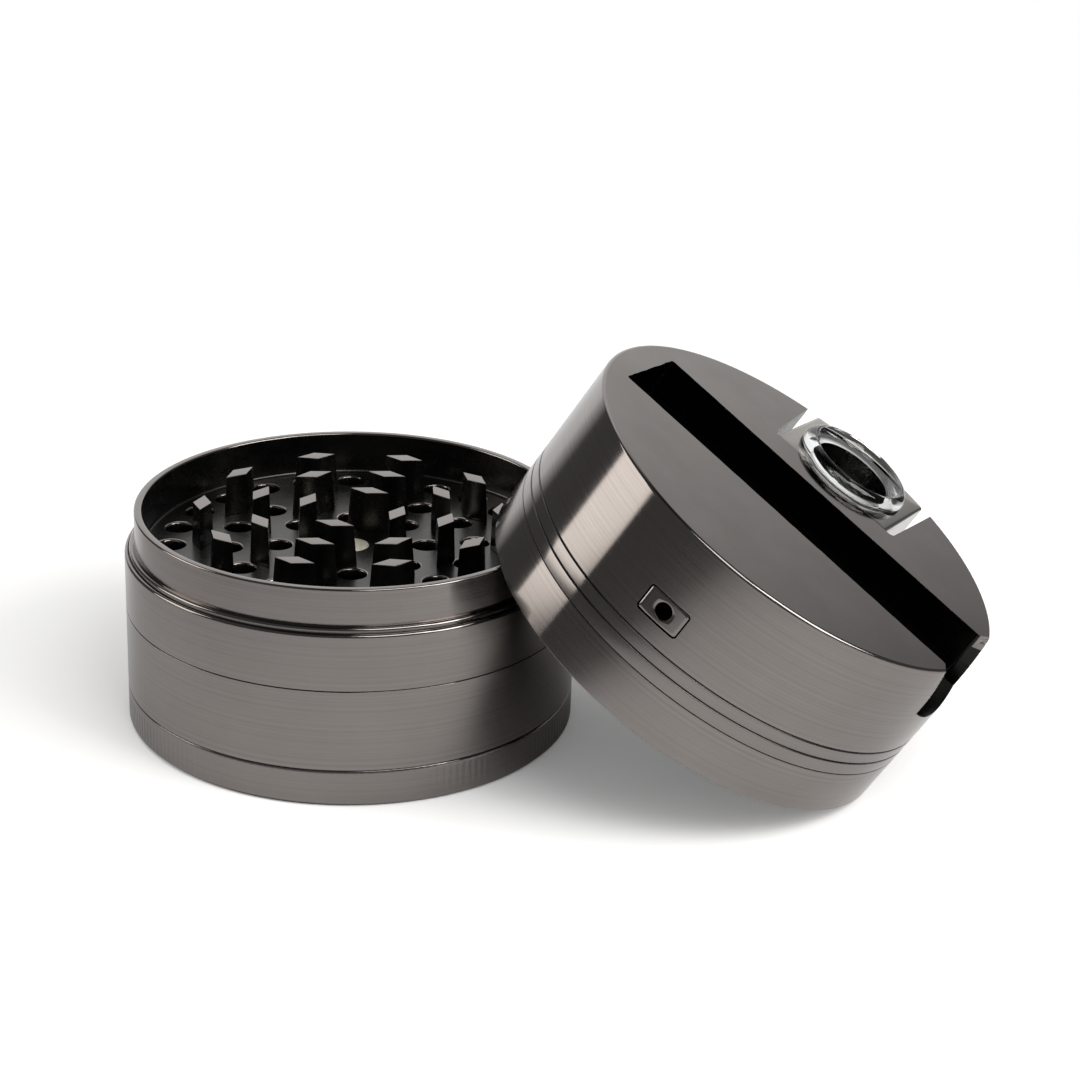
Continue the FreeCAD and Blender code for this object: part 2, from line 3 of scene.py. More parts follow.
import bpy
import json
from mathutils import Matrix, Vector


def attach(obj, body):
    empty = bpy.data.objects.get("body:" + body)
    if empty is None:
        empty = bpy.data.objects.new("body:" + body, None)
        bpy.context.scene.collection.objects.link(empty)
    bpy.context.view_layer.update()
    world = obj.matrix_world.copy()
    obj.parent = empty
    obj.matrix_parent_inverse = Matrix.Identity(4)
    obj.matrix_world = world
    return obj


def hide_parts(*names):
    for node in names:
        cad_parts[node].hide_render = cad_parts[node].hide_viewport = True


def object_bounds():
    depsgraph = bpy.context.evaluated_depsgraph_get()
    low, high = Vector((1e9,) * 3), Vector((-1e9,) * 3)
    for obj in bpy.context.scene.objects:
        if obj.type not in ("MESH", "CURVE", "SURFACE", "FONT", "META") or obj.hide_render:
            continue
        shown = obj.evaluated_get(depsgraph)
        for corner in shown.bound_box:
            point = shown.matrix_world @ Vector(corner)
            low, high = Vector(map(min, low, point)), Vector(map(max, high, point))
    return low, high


bl_info = {
    "name": "Herb Grinder with Pipe Lid",
    "version": (1, 0, 0),
    "blender": (4, 5, 0),
    "location": "View3D > Sidebar > Grinder",
    "description": "Builds the visible pieces of a plated herb grinder, its leaning pipe lid and a stage",
    "category": "Object",
}

import json
import math
import random

import bmesh
import bpy
from bpy.props import FloatProperty, FloatVectorProperty, IntProperty, PointerProperty
from mathutils import Matrix, Vector

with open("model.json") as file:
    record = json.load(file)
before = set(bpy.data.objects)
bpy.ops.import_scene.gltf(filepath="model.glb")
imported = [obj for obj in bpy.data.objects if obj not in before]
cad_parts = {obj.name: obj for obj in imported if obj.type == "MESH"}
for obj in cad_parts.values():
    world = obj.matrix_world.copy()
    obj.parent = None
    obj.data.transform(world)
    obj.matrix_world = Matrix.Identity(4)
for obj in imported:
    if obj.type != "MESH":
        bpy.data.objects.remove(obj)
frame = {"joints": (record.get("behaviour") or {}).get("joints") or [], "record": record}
CAD_BOX = [list(corner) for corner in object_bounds()]

MM = 0.001
TINY = 1e-7
FULL_TURN = 2 * math.pi
ROUND_STEPS = 256
GLASS_STEPS = 128
SEAT_STEPS = 96
AIR_SEAL_STEPS = 64
SMALL_STEPS = 48
SHARP_ANGLE = math.radians(50)

# A face counts as eased, or as flat, from these heights of its normal
EASED_TILT = 0.2
FLAT_TILT = 0.9

# The lid's own directions, from the frame's joints
JOINTS = {joint["name"]: joint for joint in frame["joints"]}
LID_AXIS = Vector(JOINTS["lid_turn"]["axis"]).normalized()
LID_MOUTH = Vector(JOINTS["lid_turn"]["pos_m"])
BOWL_SIDE = Vector(JOINTS["block_slide"]["axis"]).normalized()
SLOT_SIDE = BOWL_SIDE.cross(LID_AXIS)
LEANING = Matrix.Translation(LID_MOUTH) @ Matrix((SLOT_SIDE, BOWL_SIDE, LID_AXIS)).transposed().to_4x4()
UPRIGHT_AXIS = Vector((0, 0, 1))

# Which body each node rides on
BODY_OF = {node: body for body, nodes in frame["record"]["behaviour"]["bodies"].items() for node in nodes}

# Gaps and eased edges shared by the turned pieces
SEAM_GAP = 0.03 * MM
SEAM_CHAMFER = 0.08 * MM
EASY_GAP = 0.35 * MM
CLOSE_GAP = 0.05 * MM
RIM_EASE = 0.28 * MM
EDGE_EASE = 0.15 * MM
FINE_BEVEL = 0.07 * MM
FLOOR_FILLET = 0.4 * MM
OVERSHOOT = 1.0 * MM

# Threads that join the sections
THREAD_PITCH = 1.25 * MM
THREAD_DEPTH = 0.24 * MM
THREAD_RUN_OUT = 0.45 * MM
THREAD_ROW = 0.1 * MM

# Kief tray
TRAY_FLOOR = 1.5 * MM
FOOT_CHAMFER = 0.5 * MM
REED_LOW = 0.72 * MM
REED_HIGH = 4.55 * MM
REED_RUN_OUT = 0.22 * MM
REED_POINTS = (0.0, 0.13, 0.26, 0.63)
REED_BOTTOM = 1

# Spigots, skirt and the sieve's ledge
SPIGOT_CHAMFER = 0.4 * MM
LOWER_SPIGOT_FOOT = 2.4 * MM
UPPER_SPIGOT_TOP = 20.8 * MM
SKIRT_TOP = 21.4 * MM
SKIRT_STEP_R = 28.6 * MM
COLLECTION_BORE_R = 27.4 * MM
SIEVE_LEDGE_R = 26.4 * MM
SIEVE_LEDGE_Z = 6.9 * MM
SIEVE_LEDGE_TOP = 7.9 * MM
SIEVE_RECESS_R = 28.0 * MM

# Sieve cloth and its split ring
SIEVE_R = 27.9 * MM
SIEVE_RIM_R = 26.45 * MM
SIEVE_THICK = 0.3 * MM
RING_INNER_R = 26.5 * MM
RING_THICK = 1.0 * MM
RING_SPLIT = 6.0 * MM
RING_STEPS = 200
WIRE_SIDES = 5

# Shoulder, collar and chamber floor
SHOULDER_ROUND = 0.42 * MM
SHOULDER_GROOVE = 0.2 * MM
BEAD_ROUND = 0.4 * MM
BEAD_RISE = 0.3 * MM
COLLAR_FOOT = 25.7 * MM
COLLAR_WALL = 1.1 * MM
CHAMBER_FLOOR_THICK = 2.0 * MM
FLOOR_HOLE_RINGS = ((10.4, 8, 17.7), (17.3, 14, 21.2), (25.2, 24, 3.2))
HOLE_EASE = 0.32 * MM
MAGNET_THICK = 1.5 * MM

# Rings of teeth: radius in mm, count, first tooth's azimuth in degrees
CHAMBER_RINGS = ((6.65, 4, -3.5), (13.75, 8, -3.5), (20.85, 10, 14.5))
LID_RINGS = ((10.35, 4, 20.0), (17.35, 7, 0.0), (24.6, 9, 10.0))
TOOTH_DRAFT = 1.18
TOOTH_BEVEL = 0.09 * MM

# Lid, upright, heights from the mouth
LID_PARTING = 7.0 * MM
LID_BORE_R = 30.35 * MM
LID_TOP_EASE = 0.45 * MM
MOUTH_EASE = 0.2 * MM
MOUTH_CHAMFER_R = 31.0 * MM
MOUTH_CHAMFER_TOP = 1.0 * MM
SLIP_LEDGE = 6.6 * MM
SLIP_THICK = 0.7 * MM
SLIP_INNER_R = 28.75 * MM
LID_CEILING = 7.4 * MM
LID_SPIGOT_TOP = 9.9 * MM
LID_SPIGOT_R = 29.3 * MM
LID_TOOTH_TIP = 2.6 * MM
POST_R = 4.2 * MM
POST_TIP = 0.8 * MM
LID_MAGNET_THICK = 2.5 * MM
GROOVES = (9.05 * MM, 11.0 * MM)
GROOVE_HALF = 0.16 * MM
GROOVE_DEPTH = 0.26 * MM
GROOVE_LIP = 0.03 * MM

# Storage slot and finger scoop
SLOT_CLOSED_END = -27.2 * MM
SLOT_NEAR = -8.25 * MM
SLOT_FAR = 7.15 * MM
SLOT_CORNER = 0.5 * MM
SLOT_NICK = 0.025 * MM
SLOT_NICK_STEP = 0.9 * MM
SLOT_NICK_SEED = 11
SCOOP_START = 28.7 * MM
SCOOP_REACH = 3.8 * MM
SCOOP_RISE = 1.7 * MM
SCOOP_ROUND = 0.4 * MM
SCOOP_TURN = 66
SCOOP_LEAN = 2.7
SCOOP_STEPS = 12
# Depth of the scoop's top band that is left out of the painted shade
SCOOP_UNSHADED_BAND = 2.0 * MM

# Notch, block and the magnets that hold them together
BOWL_X = -0.35 * MM
BOWL_Y = 21.2 * MM
NOTCH_LEFT = -10.95 * MM
NOTCH_LEFT_SLANT = -0.075
NOTCH_RIGHT = 10.85 * MM
NOTCH_RIGHT_SLANT = 0.026
NOTCH_WALL_Y = 13.0 * MM
NOTCH_FLOOR = 13.6 * MM
NOTCH_CORNER = 0.8 * MM
BLOCK_HALF = 10.0 * MM
BLOCK_NEAR_Y = 13.25 * MM
BLOCK_FLOOR_GAP = 0.1 * MM
BLOCK_R = 31.4 * MM
BLOCK_EASE = 0.25 * MM
BLOCK_CORNER = 0.6 * MM
BLOCK_DOME = 0.15 * MM
BLOCK_DOME_SPAN = 0.4
BLOCK_DOME_RINGS = 8
POCKET_R = 6.55 * MM
POCKET_FLOOR = 18.4 * MM
PAIR_MAGNET_R = 2.0 * MM
PAIR_MAGNET_THICK = 2.0 * MM
PAIR_MAGNET_X = 6.5 * MM
PAIR_MAGNET_Z = 20.0 * MM

# Glass bowl, (radius, height) points from the block's top
GLASS_STEM_R = 6.25 * MM
GLASS_DEPTH = 7.4 * MM
GLASS_HOLE_R = 1.4 * MM
GLASS_SIDE = (8.55 * MM, 0.65 * MM)
GLASS_CREST = (7.4 * MM, 1.95 * MM)
GLASS_LIP = (5.9 * MM, 0.75 * MM)
GLASS_DISH = (4.7 * MM, -4.2 * MM)
GLASS_HOLE_TOP = (1.4 * MM, -6.0 * MM)
GLASS_RIM_BULGE = (0.22 * MM, 0.21 * MM)
GLASS_LIP_BULGE = (-0.12 * MM, 0.14 * MM)
GLASS_WALL_BULGE = (0.1 * MM, 0.0)
GLASS_DISH_BULGE = (0.5 * MM, -0.45 * MM)
SEAL_INNER_R = 6.75 * MM
SEAL_OUTER_R = 7.65 * MM
SEAL_THICK = 0.45 * MM

# Air passage and mouthpiece
AIR_X = 0.3 * MM
AIR_Z = 15.55 * MM
AIR_R = 1.2 * MM
AIR_SEAL_OUTER_R = 2.4 * MM
AIR_SEAL_INNER_R = 1.5 * MM
AIR_SEAL_THICK = 0.6 * MM
MOUTH_HALF_WIDE = 3.1 * MM
MOUTH_HALF_HIGH = 1.83 * MM
MOUTH_CORNER = 0.35 * MM
BORE_EASE = 0.08 * MM
MOUTH_INNER_END = -11.2 * MM
MOUTH_FACE_R = 31.42 * MM
MOUTH_FACE_STEP = 0.4 * MM
MOUTH_FACE_RINGS = 4
MOUTH_GAP = 0.17 * MM
MOUTH_TRAVEL = 12.0 * MM
PIN_Y = -25.5 * MM
PIN_R = 0.6 * MM
PIN_BITE = 0.45 * MM
PIN_SLOT_HALF = 0.75 * MM
PIN_SLOT_DEPTH = 0.7 * MM

# Turned plating: depths of its rings, their share in its tone, and its least and greatest roughness
FINE_RING_DEPTH = 0.002 * MM
BROAD_RING_DEPTH = 0.004 * MM
RING_SHARE = 1.3
RING_TONES = (0.75, 1.55)
BASE_RING_LEVEL = 0.03
BASE_GLOSS = (0.15, 0.18)
LID_RING_LEVEL = 0.16
LID_GLOSS = (0.105, 0.13)

# Plain studio that metal and glass mirror: a white sheet behind the grinder, a dim room in front and a dim
# ceiling, as (azimuth from +Y towards +X, grey) round the room and (elevation, grey) up it, in degrees
ROOM_SIDES = ((-180, 0.12), (-58, 0.12), (-45, 1.0), (8, 1.0), (24, 0.12), (180, 0.12))
ROOM_HEIGHTS = ((-90, 0.6), (5, 1.0), (60, 1.0), (72, 0.15), (90, 0.15))

# Floor, in metres: where it thins out in the light, and to the eye
FLOOR_R = 0.6
FLOOR_STEPS = 96
FLOOR_DROP = 0.02 * MM
FLOOR_FADE = (0.045, 0.27)
FLOOR_FADE_SEEN = (0.09, 0.3)
FLOOR_LEFT = 0.06

# Soft lamps: name, azimuth and elevation in degrees, width and height in metres, radiance, colour
LAMP_DISTANCE = 0.6
LAMPS = (
    ("key_panel", 104, 33, 0.36, 0.36, 5.6, (1.0, 0.99, 0.97)),
    ("fill_panel", 138, 52, 0.3, 0.3, 3.5, (1.0, 1.0, 1.0)),
    ("left_panel", -102.3, 20, 0.288, 0.32, 2.7, (1.0, 0.965, 0.92)),
)
SENSOR_WIDE = 36.0
CAMERA_NEAR = 0.01


def size(label, millimetres, description):
    """A length that a user may change, given in millimetres."""
    return FloatProperty(name=label, description=description, default=millimetres * MM,
                         subtype="DISTANCE", unit="LENGTH", precision=5)


def tint(label, colour, description):
    """A colour that a user may change, in linear light."""
    return FloatVectorProperty(name=label, description=description, default=colour, size=3,
                               subtype="COLOR", min=0.0, max=1.0)


class GrinderSizes(bpy.types.PropertyGroup):
    """Sizes of the base and the lid"""

    outer_r: size("Outer radius", 31.5, "Radius of the side wall of the base and the lid")
    tray_top: size("Tray top", 5.3, "Height of the seam above the kief tray")
    collection_top: size("Collection top", 16.8, "Height of the seam above the collection chamber")
    shoulder_z: size("Shoulder", 24.85, "Height of the shoulder below the collar")
    collar_top: size("Collar top", 30.7, "Height of the collar's rim")
    collar_r: size("Collar radius", 30.1, "Outer radius of the collar")
    chamber_floor: size("Chamber floor", 24.6, "Height of the drilled floor that carries the teeth")
    spigot_r: size("Spigot radius", 29.35, "Outer radius of the threaded spigots")
    floor_hole_r: size("Floor hole radius", 1.9, "Radius of the holes in the chamber floor")
    tooth_top: size("Tooth top", 30.4, "Height of the tops of the chamber's teeth")
    tooth_half_long: size("Tooth half length", 2.85, "Half of a tooth's long diagonal")
    tooth_half_wide: size("Tooth half width", 1.28, "Half of a tooth's short diagonal")
    magnet_r: size("Magnet radius", 2.4, "Radius of the centre magnets")
    lid_height: size("Lid height", 26.2, "Height of the lid from its mouth to its top")
    slot_depth: size("Slot depth", 5.5, "Depth of the storage slot")
    scoop_depth: size("Scoop depth", 9.6, "Depth of the finger scoop at the slot's open end")
    bore_r: size("Mouthpiece bore", 1.15, "Radius of the mouthpiece's air bore")
    sieve_pitch: size("Sieve pitch", 0.85, "Distance between the wires of the sieve cloth")
    sieve_wire: size("Sieve wire", 0.15, "Thickness of the wires of the sieve cloth")
    reed_depth: size("Reed depth", 0.06, "Depth of the tray's fine reeding")
    reed_count: IntProperty(name="Reeds", description="Number of fine grooves round the tray",
                            default=198, min=3)


class GrinderFinish(bpy.types.PropertyGroup):
    """Colours of the finishes"""

    gunmetal: tint("Gunmetal", (0.225, 0.205, 0.195), "Plating of the base and the lid")
    gunmetal_pale: tint("Pale gunmetal", (0.27, 0.248, 0.236), "Lighter clouds in the plating")
    bright: tint("Bright plating", (0.42, 0.4, 0.37), "Plating of the bowl block and its notch")
    bright_pale: tint("Pale bright plating", (0.46, 0.44, 0.41), "Lighter clouds in the bright plating")
    # The cast colour is dark plating on the teeth sides, the chamber floor and the insides of the chamber,
    # the lid and the mouthpiece; the same colour is painted shade in the lid's grooves, its parting seam and
    # the pocket under the glass.
    cast: tint("Cast", (0.075, 0.072, 0.07), "Dark plating over the cast insides")
    # The slot colour is painted shade: near-black put inside the slot and the finger scoop, and on the
    # notch's side wall beside the block, where they lie in shade.
    slot: tint("Slot", (0.02, 0.02, 0.019), "Blackened plating inside the slot and the scoop")
    nickel: tint("Nickel", (0.88, 0.85, 0.7), "Plating of the magnets")
    steel: tint("Sieve steel", (0.5, 0.49, 0.47), "Wires of the sieve cloth and its ring")
    nylon: tint("Nylon", (0.62, 0.6, 0.55), "Slip ring inside the lid")
    seal: tint("Seal", (0.016, 0.016, 0.017), "Soft seal rings")
    glass: tint("Glass", (0.98, 0.99, 0.985), "Clear glass of the bowl")


class GrinderStage(bpy.types.PropertyGroup):
    """Camera, floor and light"""

    camera_place: FloatVectorProperty(
        name="Camera place", description="Where the camera stands", size=3, subtype="TRANSLATION",
        default=(0.10087, -0.31490, 0.16060))
    camera_heading: FloatProperty(name="Heading", description="Camera's turn about the vertical",
                                  default=math.radians(13.2), subtype="ANGLE")
    camera_pitch: FloatProperty(name="Pitch", description="Camera's tip below the horizon",
                                default=0.387, subtype="ANGLE")
    camera_roll: FloatProperty(name="Roll", description="Camera's roll about its own view",
                               default=0.034, subtype="ANGLE")
    camera_lens: FloatProperty(name="Lens", description="Focal length on a 36 mm wide sensor",
                               default=84.81, unit="CAMERA")
    floor_colour: tint("Floor", (0.88, 0.88, 0.88), "Pale floor")
    floor_lift: FloatProperty(name="Floor lift", description="How much whiter the floor is to the eye",
                              default=1.25)
    shadow_lift: FloatProperty(name="Shadow lift", description="How much paler its shadows are to the eye",
                               default=0.12)
    ambient: FloatProperty(name="Ambient", description="Strength of the even light from all round",
                           default=0.48)


def to_frame(piece, node, leaning=False):
    """Sets a finished piece in the node's place: its body and the lid's lean."""
    if leaning:
        piece.data.transform(LEANING)
    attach(piece, BODY_OF[node])
    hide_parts(node)
    return piece


def new_piece(name, mesh):
    """An object for the mesh, in the scene."""
    piece = bpy.data.objects.new(name, mesh)
    bpy.context.scene.collection.objects.link(piece)
    return piece


def mesh_of(name, verts, faces):
    """A mesh from points and faces, with its faces turned outwards."""
    mesh = bpy.data.meshes.new(name)
    mesh.from_pydata(verts, [], faces)
    work = bmesh.new()
    work.from_mesh(mesh)
    bmesh.ops.recalc_face_normals(work, faces=work.faces)
    work.to_mesh(mesh)
    work.free()
    return mesh


def even_turn(steps):
    """Angles evenly round a full turn."""
    return [FULL_TURN * step / steps for step in range(steps)]


def ringed_mesh(name, rings, flat_ends=False):
    """Rings of equally many points joined one to the next, closed by two flat ends or into a loop."""
    count = len(rings[0])
    verts = [point for ring in rings for point in ring]
    faces = []
    for index in range(len(rings) - 1 if flat_ends else len(rings)):
        here, there = index * count, (index + 1) % len(rings) * count
        for step in range(count):
            after = (step + 1) % count
            faces.append([here + step, here + after, there + after, there + step])
    if flat_ends:
        faces += [list(range(count)), list(range(len(verts) - count, len(verts)))]
    return mesh_of(name, verts, faces)


def turned_mesh(name, outline, angles=None, shape=None, centre=(0.0, 0.0)):
    """An outline of (radius, height) points turned about an upright axis. shape may alter a radius.

    An outline that starts and ends on the axis gets two flat ends, and any other is closed on itself.
    """
    angles = angles or even_turn(ROUND_STEPS)
    rings = []
    for radius, height in outline:
        if radius < TINY:
            continue
        reaches = [shape(radius, height, angle) if shape else radius for angle in angles]
        rings.append([(centre[0] + reach * math.cos(angle), centre[1] + reach * math.sin(angle), height)
                      for reach, angle in zip(reaches, angles)])
    return ringed_mesh(name, rings, flat_ends=outline[0][0] < TINY)


def arc(centre, radius, start, end, steps=6):
    """Points of an outline along an arc, angles in degrees, both ends included."""
    turns = [math.radians(start + (end - start) * step / steps) for step in range(steps + 1)]
    return [(centre[0] + radius * math.cos(turn), centre[1] + radius * math.sin(turn)) for turn in turns]


def bulged(start, end, out, steps=10):
    """Points of an outline from start to end along a curve whose middle stands off the chord by out."""
    points = []
    for step in range(1, steps + 1):
        along = step / steps
        lift = 4 * along * (1 - along)
        points.append(tuple(a + (b - a) * along + lift * o for a, b, o in zip(start, end, out)))
    return points


def thread_rows(radius, start, end):
    """Points of an outline along a threaded wall."""
    count = max(2, round(abs(end - start) / THREAD_ROW))
    return [(radius, start + (end - start) * step / count) for step in range(count + 1)]


def threaded(*walls):
    """Shape of threaded walls, each (radius, low, high, depth): a helix that runs out at its ends."""
    def reach(radius, height, angle):
        for wall, low, high, depth in walls:
            if abs(radius - wall) < TINY and low - TINY < height < high + TINY:
                wave = 0.5 - 0.5 * math.cos(FULL_TURN * height / THREAD_PITCH - angle)
                inside = min(height - low, high - height)
                run_out = max(0.0, min(1.0, inside / THREAD_RUN_OUT))
                return radius + depth * wave * run_out
        return radius
    return reach


def rounded_rectangle(low, high, corner, steps=5):
    """Points round a rectangle with rounded corners, anticlockwise."""
    (x0, y0), (x1, y1) = low, high
    corners = (((x1 - corner, y0 + corner), -90), ((x1 - corner, y1 - corner), 0),
               ((x0 + corner, y1 - corner), 90), ((x0 + corner, y0 + corner), 180))
    points = []
    for centre, start in corners:
        points += arc(centre, corner, start, start + 90, steps)
    return points


def divided(points, spacing, nudge=0.0, seed=0):
    """The same outline with its straight runs divided, and nudged sideways where an edge is rough."""
    draw = random.Random(seed)
    result = []
    for here, after in zip(points, points[1:] + points[:1]):
        result.append(here)
        run = Vector(after) - Vector(here)
        count = int(run.length / spacing)
        across = Vector((-run.y, run.x)).normalized() if run.length else Vector((0, 0))
        for step in range(1, count):
            result.append(tuple(Vector(here) + run * step / count + across * draw.gauss(0, nudge)))
    return result


def prism_mesh(name, points, low, high):
    """An outline in the XY plane raised from one height to another."""
    count = len(points)
    verts = [(x, y, low) for x, y in points] + [(x, y, high) for x, y in points]
    faces = [list(range(count))[::-1], list(range(count, 2 * count))]
    for step in range(count):
        after = (step + 1) % count
        faces.append([step, after, count + after, count + step])
    return mesh_of(name, verts, faces)


def rod_mesh(name, radius, start, end, ease=0.0, steps=SMALL_STEPS):
    """A rod with eased ends from one point to another."""
    along = Vector(end) - Vector(start)
    length = along.length
    if ease:
        outline = [(0, 0), (radius - ease, 0), (radius, ease), (radius, length - ease),
                   (radius - ease, length), (0, length)]
    else:
        outline = [(0, 0), (radius, 0), (radius, length), (0, length)]
    mesh = turned_mesh(name, outline, even_turn(steps))
    turn = along.to_track_quat("Z", "Y").to_matrix().to_4x4()
    mesh.transform(Matrix.Translation(Vector(start)) @ turn)
    return mesh


def joined(name, meshes):
    """Several meshes as one."""
    work = bmesh.new()
    for mesh in meshes:
        work.from_mesh(mesh)
        bpy.data.meshes.remove(mesh)
    result = bpy.data.meshes.new(name)
    work.to_mesh(result)
    work.free()
    return result


def shaped(piece, steps=()):
    """Applies the piece's modifiers to its mesh and removes the cutters they used."""
    bpy.context.view_layer.update()
    graph = bpy.context.evaluated_depsgraph_get()
    old = piece.data
    piece.data = bpy.data.meshes.new_from_object(piece.evaluated_get(graph))
    piece.modifiers.clear()
    piece.data.name = old.name
    bpy.data.meshes.remove(old)
    for cutter in steps:
        mesh = cutter.data
        bpy.data.objects.remove(cutter)
        bpy.data.meshes.remove(mesh)
    return piece


def carved(piece, meshes):
    """Cuts each mesh out of the piece."""
    cutters = []
    for mesh in meshes:
        cutter = new_piece(mesh.name, mesh)
        step = piece.modifiers.new(mesh.name, "BOOLEAN")
        step.operation = "DIFFERENCE"
        step.solver = "EXACT"
        step.object = cutter
        cutters.append(cutter)
    return shaped(piece, cutters)


def eased(piece, width, segments=2):
    """Rounds the piece's sharp edges a little."""
    bevel = piece.modifiers.new("eased edges", "BEVEL")
    bevel.width = width
    bevel.segments = segments
    bevel.limit_method = "ANGLE"
    bevel.angle_limit = SHARP_ANGLE
    bevel.use_clamp_overlap = True
    return shaped(piece)


def dressed(piece, materials, pick=None):
    """Smooth shading that keeps flats flat, and the materials, chosen by pick(centre, normal)."""
    mesh = piece.data
    mesh.materials.clear()
    for material in materials:
        mesh.materials.append(material)
    for face in mesh.polygons:
        face.material_index = pick(face.center, face.normal) if pick else 0
    mesh.shade_smooth()
    mesh.set_sharp_from_angle(angle=SHARP_ANGLE)
    normals = piece.modifiers.new("flat faces stay flat", "WEIGHTED_NORMAL")
    normals.keep_sharp = True
    return piece


def ring_places(rings):
    """(radius, azimuth) of every place on the rings, in metres and radians."""
    for radius, count, first in rings:
        for index in range(count):
            yield radius * MM, math.radians(first + index * 360 / count)


class Finish:
    """A material being put together from nodes."""

    def __init__(self, name):
        self.material = bpy.data.materials.new(name)
        self.material.use_nodes = True
        self.tree = self.material.node_tree
        self.tree.nodes.clear()

    def add(self, kind, inputs=None, **settings):
        """A node with its settings; an input is a value or another node's output."""
        node = self.tree.nodes.new(kind)
        for key, value in settings.items():
            setattr(node, key, value)
        for key, value in (inputs or {}).items():
            if isinstance(value, bpy.types.NodeSocket):
                self.tree.links.new(value, node.inputs[key])
            else:
                node.inputs[key].default_value = value
        return node

    def place(self):
        """Coordinates fixed to the piece."""
        return self.add("ShaderNodeTexCoord").outputs["Object"]

    def maths(self, operation, first, second=0.0):
        """One step of arithmetic."""
        return self.add("ShaderNodeMath", {0: first, 1: second}, operation=operation).outputs[0]

    def noise(self, scale, detail=2.0, roughness=0.5, vector=None, along=None):
        """Noise in space, or along one coordinate."""
        if along is not None:
            inputs = {"W": along, "Scale": scale, "Detail": detail, "Roughness": roughness}
            return self.add("ShaderNodeTexNoise", inputs, noise_dimensions="1D").outputs[0]
        inputs = {"Vector": vector or self.place(), "Scale": scale, "Detail": detail, "Roughness": roughness}
        return self.add("ShaderNodeTexNoise", inputs).outputs[0]

    def between(self, value, low, high, to_low=0.0, to_high=1.0, smooth=False):
        """The value carried from one range to another."""
        kind = "SMOOTHSTEP" if smooth else "LINEAR"
        inputs = {"Value": value, "From Min": low, "From Max": high, "To Min": to_low, "To Max": to_high}
        return self.add("ShaderNodeMapRange", inputs, interpolation_type=kind).outputs[0]

    def mixed(self, amount, first, second):
        """A colour between two colours."""
        node = self.add("ShaderNodeMix", data_type="RGBA")
        colours = [socket for socket in node.inputs if socket.type == "RGBA"]
        for socket, colour in zip(colours, (first, second)):
            if isinstance(colour, bpy.types.NodeSocket):
                self.tree.links.new(colour, socket)
            else:
                socket.default_value = (*colour, 1.0)
        self.tree.links.new(amount, node.inputs[0])
        return next(socket for socket in node.outputs if socket.type == "RGBA")

    def ramp(self, value, stops):
        """A colour from a run of (place, colour) stops."""
        node = self.add("ShaderNodeValToRGB", {0: value})
        elements = node.color_ramp.elements
        while len(elements) < len(stops):
            elements.new(1.0)
        for element, (place, colour) in zip(elements, stops):
            element.position = place
            element.color = (*colour, 1.0)
        return node.outputs[0]

    def bump(self, height, distance, under=None):
        """A surface normal from a height."""
        inputs = {"Height": height, "Distance": distance, "Strength": 1.0}
        if under is not None:
            inputs["Normal"] = under
        return self.add("ShaderNodeBump", inputs).outputs[0]

    def shader(self, inputs):
        """The surface shader, joined to the output."""
        shader = self.add("ShaderNodeBsdfPrincipled", inputs)
        self.add("ShaderNodeOutputMaterial", {"Surface": shader.outputs[0]})
        return self.material


def turned_plating(name, axis, foot, finish, depth, gloss):
    """Bright plating on a turned wall: fine rings round the axis that draw out along it what they mirror."""
    work = Finish(name)
    place = work.place()
    from_foot = work.add("ShaderNodeVectorMath", {0: place, 1: foot}, operation="SUBTRACT").outputs[0]
    height = work.add("ShaderNodeVectorMath", {0: from_foot, 1: axis}, operation="DOT_PRODUCT")
    height = height.outputs["Value"]
    rings = work.noise(2400.0, 2.0, along=height)
    broad_rings = work.noise(380.0, 1.0, along=height)
    clouds = work.noise(70.0, 3.0, 0.6, vector=place)
    normal = work.bump(rings, depth * FINE_RING_DEPTH)
    normal = work.bump(broad_rings, depth * BROAD_RING_DEPTH, under=normal)
    tangent = work.add("ShaderNodeVectorTransform", {"Vector": axis}, vector_type="VECTOR",
                       convert_from="OBJECT", convert_to="WORLD").outputs[0]
    tone = work.maths("ADD", clouds, work.maths("MULTIPLY", rings, RING_SHARE))
    colour = work.mixed(work.between(tone, *RING_TONES), finish.gunmetal, finish.gunmetal_pale)
    roughness = work.between(tone, *RING_TONES, *gloss)
    return work.shader({"Base Color": colour, "Metallic": 1.0, "Roughness": roughness, "Anisotropic": 0.9,
                        "Tangent": tangent, "Normal": normal})


def satin_plating(name, colour, pale):
    """Plating on a milled flat: soft clouds and a very fine grain."""
    work = Finish(name)
    place = work.place()
    clouds = work.noise(90.0, 4.0, 0.6, vector=place)
    grain = work.noise(3000.0, 3.0, 0.6, vector=place)
    colour = work.mixed(work.between(clouds, 0.35, 0.75), colour, pale)
    roughness = work.between(clouds, 0.3, 0.75, 0.07, 0.11)
    normal = work.bump(grain, 0.0000006)
    return work.shader({"Base Color": colour, "Metallic": 1.0, "Roughness": roughness, "Normal": normal})


def cast_plating_and_shade(name, dark):
    """Dark plating on the teeth and chamber floor, also used as painted shade in grooves, seams, the pocket
    under the glass and, with the slot colour, the insides of slots.
    """
    work = Finish(name)
    place = work.place()
    clouds = work.noise(260.0, 4.0, 0.65, vector=place)
    pits = work.noise(2400.0, 4.0, 0.6, vector=place)
    ripple = work.noise(420.0, 2.0, 0.5, vector=place)
    pale = tuple(channel * 1.25 for channel in dark)
    colour = work.mixed(work.between(clouds, 0.3, 0.75), dark, pale)
    roughness = work.between(clouds, 0.3, 0.75, 0.24, 0.32)
    normal = work.bump(pits, 0.000001)
    normal = work.bump(ripple, 0.000012, under=normal)
    return work.shader({"Base Color": colour, "Metallic": 1.0, "Roughness": roughness, "Normal": normal})


